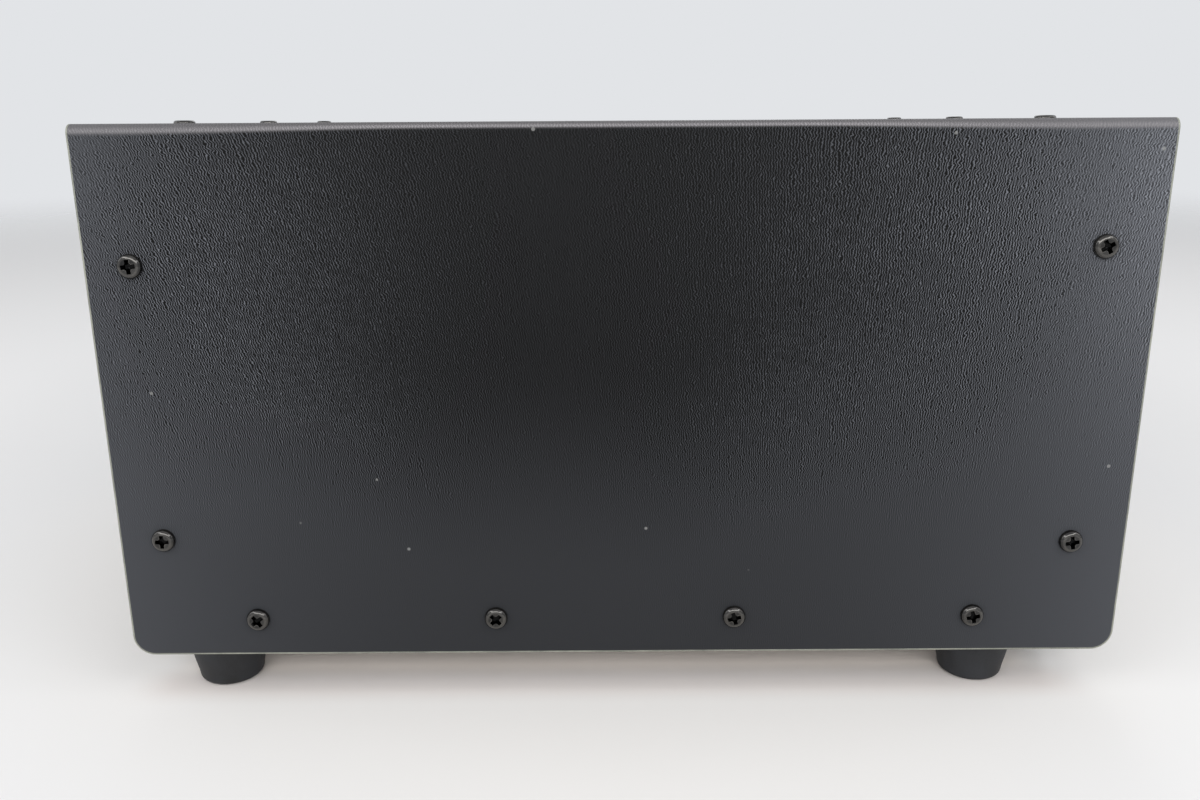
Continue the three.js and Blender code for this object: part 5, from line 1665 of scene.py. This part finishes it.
def makeDeck(shape):
    (left, right), top, sheet, bend = shape["x"], shape["top"], shape["sheet"], shape["bend"]
    corners, thin = ((left + bend, top - bend), (right - bend, top - bend)), bend - sheet
    outer = arc(corners[0], bend, pi, pi / 2, 6) + arc(corners[1], bend, pi / 2, 0, 6)
    inner = arc(corners[1], thin, 0, pi / 2, 4) + arc(corners[0], thin, pi / 2, pi, 4)
    foot = traySeat
    outline = [(left, foot), *outer, (right, foot), (right - sheet, foot), *inner, (left + sheet, foot)]
    mount(bevel(slab(outline, shape["y"]), 0.3, 2, 50), "valveDeckSheet", zincPlate, "zinc_steel", "valve_deck")
    inside, outside, height = shape["ring"]
    ring = [(inside, top - 0.4), (outside, top - 0.4), (outside, height - 4), (outside - 0.4, height - 3.6),
            (outside - 0.4, height - 0.5), (outside - 0.9, height), (inside + 0.4, height), (inside, height - 0.4),
            (inside, top - 0.4)]
    mount(merge([turned(ring, (x, y, 0), 96, axis="z") for x, y in valvePlaces]), "valveSocketRings", ceramic)
    heads = [((x + dx, y + dy, top), (0, 0, 1)) for x, y in valvePlaces for dx, dy in pairs(shape["screws"])]
    screws("deckScrews", heads, 0.5, zincPlate, 32, slot=None)


makeTray(trayShape)
makeDeck(deckShape)


# Mains transformer: laminations, with an enamelled winding on a former round the middle leg

transformerShape = {"x": -98, "y": 147, "width": 138, "stack": 84, "height": 115, "leg": 46, "build": 21,
                    "wire": 0.74, "pitch": 1.5, "bolts": (61, 50)}


def laminationFinish():
    material, tree = newFinish("laminations", Metallic=0.35)
    sheets = useGroup(tree, brushing, Across=(25.0, 1900.0, 25.0))
    mixed = sheets["Tone"] * 0.6 + useGroup(tree, speckle, Scale=600.0, Broad=30.0)["Tone"] * 0.4
    dress(tree, Base_Color=dusted(mix(mixed, "2c2a28", "5d5751"), 0.3), Roughness=ramp(mixed, 0, 1, 0.3, 0.5),
          Normal=bumped(sheets["Height"], 0.35, 0.0002))
    return material


laminations = laminationFinish()
windingEnamel = moulded("windingEnamel", "6b3413", "a65c28", (0.2, 0.36), 900.0, 70.0, 0.08, metallic=0.3, dusty=0.2,
                        Coat_Weight=0.4, Coat_Roughness=0.15)
bobbinCard = moulded("bobbinCard", "3c2a1c", "5a4230", (0.5, 0.65), 900.0, 60.0, 0.12)


def makeTransformer(shape):
    x, y, z = shape["x"], shape["y"], traySeat + shape["height"] / 2
    leg, deep, wire, pitch = pick(shape, "leg stack wire pitch")
    high, across, broad = shape["height"] - leg, 2 * leg - 0.6, deep + 2 * shape["build"]
    core = block(around(0, shape["width"]), around(0, deep), around(0, shape["height"]))
    combine(core, [block(around(side * leg * 0.75, leg / 2), around(0, 100), around(0, high)) for side in (-1, 1)])
    mount(moved(bevel(core, 0.5, 2), x, y, z), "transformerLaminations", laminations, "core_iron", "transformer_core")

    def boredPlate(size, corner, span):
        blank = plate((0, 0), size, corner, span, 8, "z")
        return combine(blank, [block(around(0, leg + 0.6), around(0, deep + 0.6), around(0, 200))])

    former = [boredPlate((across - 4 * wire, broad - 4 * wire), 13, around(0, high - 1))]
    former += [boredPlate((across, broad), 14, around(side * (high / 2 - 1.5), 2)) for side in (-1, 1)]
    mount(moved(merge(former), x, y, z), "transformerFormer", bobbinCard, "winding_copper", "transformer_winding")
    inner, count = 2 * (wire + 0.05), int((high - 5) / pitch)
    track = rounded(around(0, across - inner), around(0, broad - inner), 13.3, 7)
    turn = tube([(px, py, -(count - 1) / 2 * pitch) for px, py in track], wire, True, 8)
    mount(moved(stack(turn, count, (0, 0, pitch)), x, y, z), "transformerWinding", windingEnamel, "winding_copper")
    heads = [((x + dx, y + sy * deep / 2, z + dz), (0, sy, 0)) for dx, dz in pairs(*shape["bolts"]) for sy in (-1, 1)]
    screws("transformerBolts", heads, 1.0, zincPlate, 33, slot=None)


makeTransformer(transformerShape)


# Valves, plate choke and tank coil

valveShape = {"foot": 38.3, "wall": 1.1, "cap": 14, "anode": 19, "fins": (104, 106.6, 112, 114.6),
              "legs": ((12, 0), (-6, 10.4), (-6, -10.4))}
chokeShape = {"x": 87, "y": 232, "foot": 38.3, "former": 10, "wire": 0.48, "pitch": 1.02, "windings": (12.6, 50.6),
              "turns": 33}
coilShape = {"x": 86, "y": 165, "z": 128, "radius": 27, "wire": 2, "turns": 6, "pitch": 17}
valveGlass = paneFinish("valveGlass", "eef4f5", 0.02)
graphite = moulded("graphiteAnode", "26262a", "3f4044", (0.5, 0.7), 1400.0, 80.0, 0.2, metallic=0.4)
valveBase = moulded("valveBase", "8b8c8d", "b4b5b6", (0.25, 0.4), 900.0, 80.0, 0.05, metallic=0.9, dusty=0.15)
finnedAluminium = spunFinish("finnedAluminium", "9fa2a5", "cfd1d3", rings=3.0)
copperTube = moulded("copperTube", "9c5a36", "c98a62", (0.18, 0.36), 500.0, 45.0, 0.06, metallic=1.0, dusty=0.12)


def upright(profile, foot, x, y, sides, smooth=35):
    # a lathe piece that stands on foot
    return turned([(r, foot + h) for r, h in profile], (x, y, 0), sides, smooth, "z")


def makeValve(number, shape, x, y):
    foot, r, c = pick(shape, "foot anode cap")
    base = [(0, 0), (21.6, 0), (22, 0.4), (22, 5), (21.5, 5.5), (22, 6), (22, 13.4), (21.4, 14), (0, 14)]
    mount(upright(base, foot, x, y, 80), f"valve{number}Base", valveBase, "valve_glass", f"valve_{number}")
    bulb = [(19.5, 14.1), (23.5, 15), (27.2, 18), (29, 23), (29.7, 32), (30, 45), (29.9, 62), (29.3, 71), (27.7, 79),
            (24.6, 86.2), (20, 91.5), (14.6, 95.4), (9.6, 98), (6.6, 99.8), (5.6, 101.5)]
    inner = [(radius - shape["wall"], h + (0.9 if h < 20 else -0.9 if h > 85 else 0)) for radius, h in bulb[::-1]]
    mount(upright(bulb + inner + bulb[:1], foot, x, y, 80, 60), f"valve{number}Glass", valveGlass, "valve_glass")
    anode = [(0, 26), (r - 0.6, 26), (r, 26.6), (r, 77), (r - 2, 79.5), (4, 80), (3, 82), (3, 101), (0, 101)]
    inside = [upright(anode, foot, x, y, 64)]
    fin = moved(block((r - 0.4, r + 4.5), (-0.8, 0.8), (foot + 30, foot + 75)), turn=Matrix.Rotation(pi / 2, 4, "X"))
    inside.append(moved(copiesRound(fin, 6), x, y, 0, Matrix.Rotation(-pi / 2, 4, "X")))
    inside += [upright([(0, 13), (1.1, 13), (1.1, 27), (0, 27)], foot, x + dx, y + dy, 16) for dx, dy in shape["legs"]]
    mount(merge(inside), f"valve{number}Anode", graphite, "valve_glass")
    cap = [(0, 100.4), (6.6, 100.4), (7, 100.8), (7, 103.6)]
    for low in shape["fins"]:
        cap += [(7.8, low), (c - 0.3, low), (c, low + 0.3), (c, low + 1.1), (c - 0.3, low + 1.4), (7.8, low + 1.4)]
    cap += [(7.8, 119.4), (7.2, 120), (2.2, 120), (1.8, 119.2), (0, 119.2)]
    mount(spin(upright(cap, foot, x, y, 80, 30), x, y, 1), f"valve{number}Cap", finnedAluminium, "valve_glass")


def makeChoke(shape):
    x, y, foot, r, wire = pick(shape, "x y foot former wire")
    profile = [(0, 0), (r - 0.4, 0), (r, 0.4), (r, 11.6), (r + 1.6, 12), (r + 1.6, 12.2), (r, 12.3), (r, 46),
               (r + 1.6, 46.6), (r + 1.6, 49.4), (r, 50), (r, 84.4), (r + 1.6, 84.8), (r + 1.6, 85.6), (r, 86),
               (r, 95.6), (r - 0.4, 96), (4, 96), (0, 96)]
    mount(upright(profile, foot, x, y, 64), "chokeFormer", ceramic, "choke_ceramic", "plate_choke")
    turns = []
    for low in shape["windings"]:
        track = [(px, py, foot + low + wire) for px, py in arc((x, y), r + wire, 0, 2 * pi * 35 / 36, 35)]
        turns.append(stack(tube(track, wire, True, 6), shape["turns"], (0, 0, shape["pitch"])))
    mount(merge(turns), "chokeWinding", windingEnamel, "choke_ceramic")
    stud = [(0, 95.6), (3.6, 95.6), (4, 96), (4, 98), (3.4, 98.4), (2.2, 98.4)]
    stud += threaded(98.4, 101.6, 2.2, 0.7, 0.25) + [(1.6, 102), (0, 102)]
    mount(upright(stud, foot, x, y, 40), "chokeStud", brassLacquer)


def makeTankCoil(shape):
    cx, cy, cz, r, wire, count, pitch = pick(shape, "x y z radius wire turns pitch")
    points = []
    for i in range(count * 40 + 1):
        angle = 2 * pi * count * i / (count * 40)
        along = cx + pitch * (angle / (2 * pi) - count / 2)
        points.append(Vector((along, cy + r * math.sin(angle), cz + r * math.cos(angle))))
    points.insert(0, points[0] + (points[0] - points[1]).normalized() * 2 * wire)
    points.append(points[-1] + (points[-1] - points[-2]).normalized() * 2 * wire)
    mount(tube(points, wire, sides=16), "tankCoilTube", copperTube, "coil_copper", "tank_coil")
    top, reach = cz - r - wire - 0.3, count * pitch / 2 + 8
    pieces = []
    for middle in (cx - reach, cx + reach):
        post = block(around(middle, 5), around(cy, 22), (traySeat, top - 1))
        pieces.append(combine(post, [block(around(middle, 9), around(cy, 9), (traySeat + 12, top - 14))]))
    rail = block((cx - reach, cx + reach), around(cy, 21.6), (top - 5, top))
    pieces.append(combine(rail, [block((cx - reach + 9, cx + reach - 9), around(cy, 6), (top - 8, top + 2))]))
    mount(merge([bevel(piece, 0.6, 3, 40) for piece in pieces]), "coilBridge", ceramic, "bridge_ceramic", "coil_bridge")


for number, place in enumerate(valvePlaces, 1):
    makeValve(number, valveShape, *place)
makeChoke(chokeShape)
makeTankCoil(coilShape)
print("valves, choke and coil are in")


# Tuning capacitors: fixed vanes that the moving ones turn between

capacitorShape = {"plate": 64, "sheet": 2.5, "front": 28, "post": 29, "postRadius": 2.4, "vane": 24, "vaneSheet": 1.2,
                  "vanes": {"plate": (5, 11), "load": (8, 7)}}
vaneAluminium = brushed("vaneAluminium", "9fa2a4", "c9cbcd", (900.0, 900.0, 30.0), (0.22, 0.36), 0.06, dusty=0.15)
brightSteel = brushed("brightSteel", "85878a", "b6b8ba", (1500.0, 40.0, 1500.0), (0.2, 0.34), 0.06)


def makeCapacitor(name, shape, x, z, vanes, pitch):
    front, sheet, size, post, radius, r, thick = pick(shape, "front sheet plate post postRadius vane vaneSheet")
    inside = front + sheet
    rear = inside + (vanes + 1) * pitch
    pieces = []
    for low in (front, rear):
        wall = plate((0, 0), (size, size), 3, (low, low + sheet), 5)
        pieces.append(bevel(combine(wall, [hole(4.6, (0, 0), (low - 1, low + sheet + 1), 40)]), 0.35, 2))
    bar = [(0, 3.3), (radius, 3.3), (radius, front - 1.6), (radius + 0.9, front - 1.6), (radius + 0.9, front + 0.1),
           (radius, front + 0.1), (radius, rear + 0.5), (radius - 0.3, rear + 1), (0, rear + 1)]
    housing = merge(pieces + [turned(bar, (dx, 0, dz), 24) for dx, dz in pairs(post)])
    fixed = [(-r - 1, -r - 4), (-r, -r - 5), (r, -r - 5), (r + 1, -r - 4), (r + 1, -3), (r, -2)]
    fixed += arc((0, -2), 7, 0, -pi, 16) + [(-r, -2), (-r - 1, -3)]
    vane = bevel(slab(fixed, around(inside + pitch / 2, thick)), 0.15, 1)
    rods = [block(around(side * 18, 3), (inside + 0.3, rear - 0.3), around(-r - 4, 4)) for side in (-1, 1)]
    stator = merge([stack(vane, vanes + 1, (0, pitch, 0))] + rods)
    blade = slab(arc((0, 0), r, 0.04, pi - 0.04, 40) + [(-r + 0.5, 0), (r - 0.5, 0)], around(inside + pitch, thick))
    end = rear + sheet + 3
    shaft = [(0, 12.3), (6.2, 12.3), (6.5, 12.6), (6.5, 19.7), (6.2, 20), (3.6, 20), (3.6, end - 0.4), (3.2, end),
             (0, end)]
    rotor = merge([turned(shaft, sides=40), stack(bevel(blade, 0.15, 1), vanes, (0, pitch, 0))])
    for piece, label, node, body in ((housing, "CapacitorFrame", "capacitor_frame", "case"),
                                     (stator, "Stator", "stator", "case"), (rotor, "Rotor", "rotor", f"{name}_tuning")):
        mount(moved(piece, x, 0, z), name + label, vaneAluminium, "capacitor_metal", f"{name}_{node}", body=body)


for name, place in tuningPlaces.items():
    makeCapacitor(name, capacitorShape, *place, *capacitorShape["vanes"][name])


# Band switch: ceramic wafers with clips, and a shaft that carries a contact disc through each

switchShape = {"wafers": (40, 70, 100), "wafer": 25, "bore": 10.3, "disc": 9.3, "clips": 12, "back": 104}


def makeBandSwitch(shape, x, z):
    wide, bore, disc, count, back = pick(shape, "wafer bore disc clips back")
    wafers, clips, discs = [], [], []
    for y in shape["wafers"]:
        profile = [(bore, y - 1), (wide - 0.4, y - 1), (wide, y - 0.6), (wide, y + 0.6), (wide - 0.4, y + 1),
                   (bore, y + 1), (bore, y - 1)]
        wafers.append(turned(profile, sides=72))
        clip = [(-1.1, 11), (1.1, 11), (1.5, 13), (1.1, 24), (0, 24.8), (-1.1, 24), (-1.5, 13)]
        clips.append(copiesRound(slab(clip, (y - 1.5, y - 0.95)), count, pi / count))
        edge = arc((0, 0), disc, 0.35, 2 * pi - 0.35, 48) + [(disc - 2.2, -1.6), (disc - 2.2, 1.6)]
        discs.append(slab(edge, (y - 1.5, y + 1.5)))
    index = bevel(combine(plate((0, 0), (46, 34), 3, (3.3, 5.3), 5), [hole(3.7, (0, 0), (2, 7), 32)]), 0.25, 2)
    rods = [block(around(side * 19, 3), (4.5, back), around(0, 3)) for side in (-1, 1)]
    end = back + 4
    shaft = turned([(0, -13.7), (2.7, -13.7), (3, -13.4), (3, end - 0.4), (2.6, end), (0, end)], sides=40)
    for pieces, body, *more in (
            (wafers, "case", "bandWafers", ceramic, "switch_ceramic", "band_switch"),
            (clips, "case", "bandClips", nickelPlate),
            ([index] + rods, "case", "bandIndexPlate", brightSteel),
            ([shaft] + discs, "band_selector", "bandShaft", brightSteel, "shaft_metal", "band_shaft")):
        mount(moved(merge(pieces), x, 0, z), *more, body=body)


makeBandSwitch(switchShape, *bandPlace)


# Filter board and antenna relay

boardShape = {"x": (-165, -42), "y": (238, 343), "z": (12, 13.6), "can": 12.5, "tall": 50, "first": (-148.5, 264),
              "step": (30, 53), "rows": (4, 2)}
relayShape = {"x": (14, 42), "y": (349, 371), "z": (traySeat, traySeat + 30)}
boardGreen = moulded("boardLaminate", "1d3f22", "2f5c33", (0.28, 0.42), 2200.0, 120.0, 0.08, dusty=0.2)
canSleeve = moulded("canSleeve", "16202e", "223146", (0.26, 0.38), 1200.0, 60.0, 0.05, dusty=0.15)
canTop = moulded("canTop", "9b9da0", "c2c4c6", (0.28, 0.42), 900.0, 90.0, 0.06, metallic=0.9, dusty=0.2)
relayPlastic = moulded("relayPlastic", "cfc9b6", "ddd8c8", (0.35, 0.5), 1300.0, 60.0, 0.08, dusty=0.2)


def makeBoard(shape):
    (left, right), (near, far), (low, top) = shape["x"], shape["y"], shape["z"]
    board = slab(rounded(shape["x"], shape["y"], 2, 4), (low, top), "z")
    mount(board, "filterBoardSheet", boardGreen, "board_laminate", "filter_board")
    corners = [(x, y) for x in (left + 6, right - 6) for y in (near + 6, far - 6)]
    pillar = [(0, traySeat), (3, traySeat), (3, low), (0, low)]
    mount(merge([turned(pillar, (x, y, 0), 6, axis="z") for x, y in corners]), "boardPillars", brassLacquer)
    screws("boardScrews", [((x, y, top), (0, 0, 1)) for x, y in corners], 0.62, zincPlate, 34, slot=None)
    r, high = shape["can"], top + shape["tall"]
    (x, y), (stepX, stepY), (columns, rows) = shape["first"], shape["step"], shape["rows"]
    sleeve = [(0, top), (r - 0.6, top), (r, top + 0.6), (r, top + 2.6), (r - 0.7, top + 3.2), (r - 0.7, top + 3.8),
              (r, top + 4.4), (r, high - 0.8), (r - 0.5, high - 0.2), (r - 1.6, high), (r - 2, high - 0.5),
              (0, high - 0.5)]
    lid = [(0, high - 0.55), (r - 2.1, high - 0.55), (r - 2.1, high - 0.2), (r - 2.4, high - 0.1), (0, high - 0.1)]
    can, lid = (turned(profile, (x, y, 0), 48, axis="z") for profile in (sleeve, lid))
    depth = (high - 0.3, high + 1)
    combine(lid, [block(around(x, 12), around(y, 0.5), depth), block(around(x, 0.5), around(y, 12), depth)])
    for piece, *more in ((can, "filterCans", canSleeve, "board_laminate"), (lid, "filterCanTops", canTop)):
        mount(stack(piece, columns, (stepX, 0, 0), rows, (0, stepY, 0)), *more)


def makeRelay(shape):
    (left, right), (near, far), (low, top) = shape["x"], shape["y"], shape["z"]
    box = block((left, right), (near, far), (low, top))
    groove = block((left - 1, right + 1), (near - 1, far + 1), (low + 4, low + 4.6))
    combine(groove, [block((left + 0.5, right - 0.5), (near + 0.5, far - 0.5), (low + 3, low + 6))])
    mount(bevel(combine(box, [groove]), 0.5, 2, 50), "relayCase", relayPlastic, "relay_plastic", "antenna_relay")


makeBoard(boardShape)
makeRelay(relayShape)
print("the inside is in")

for head in (panHead, lowPanHead):
    bpy.data.objects.remove(head)
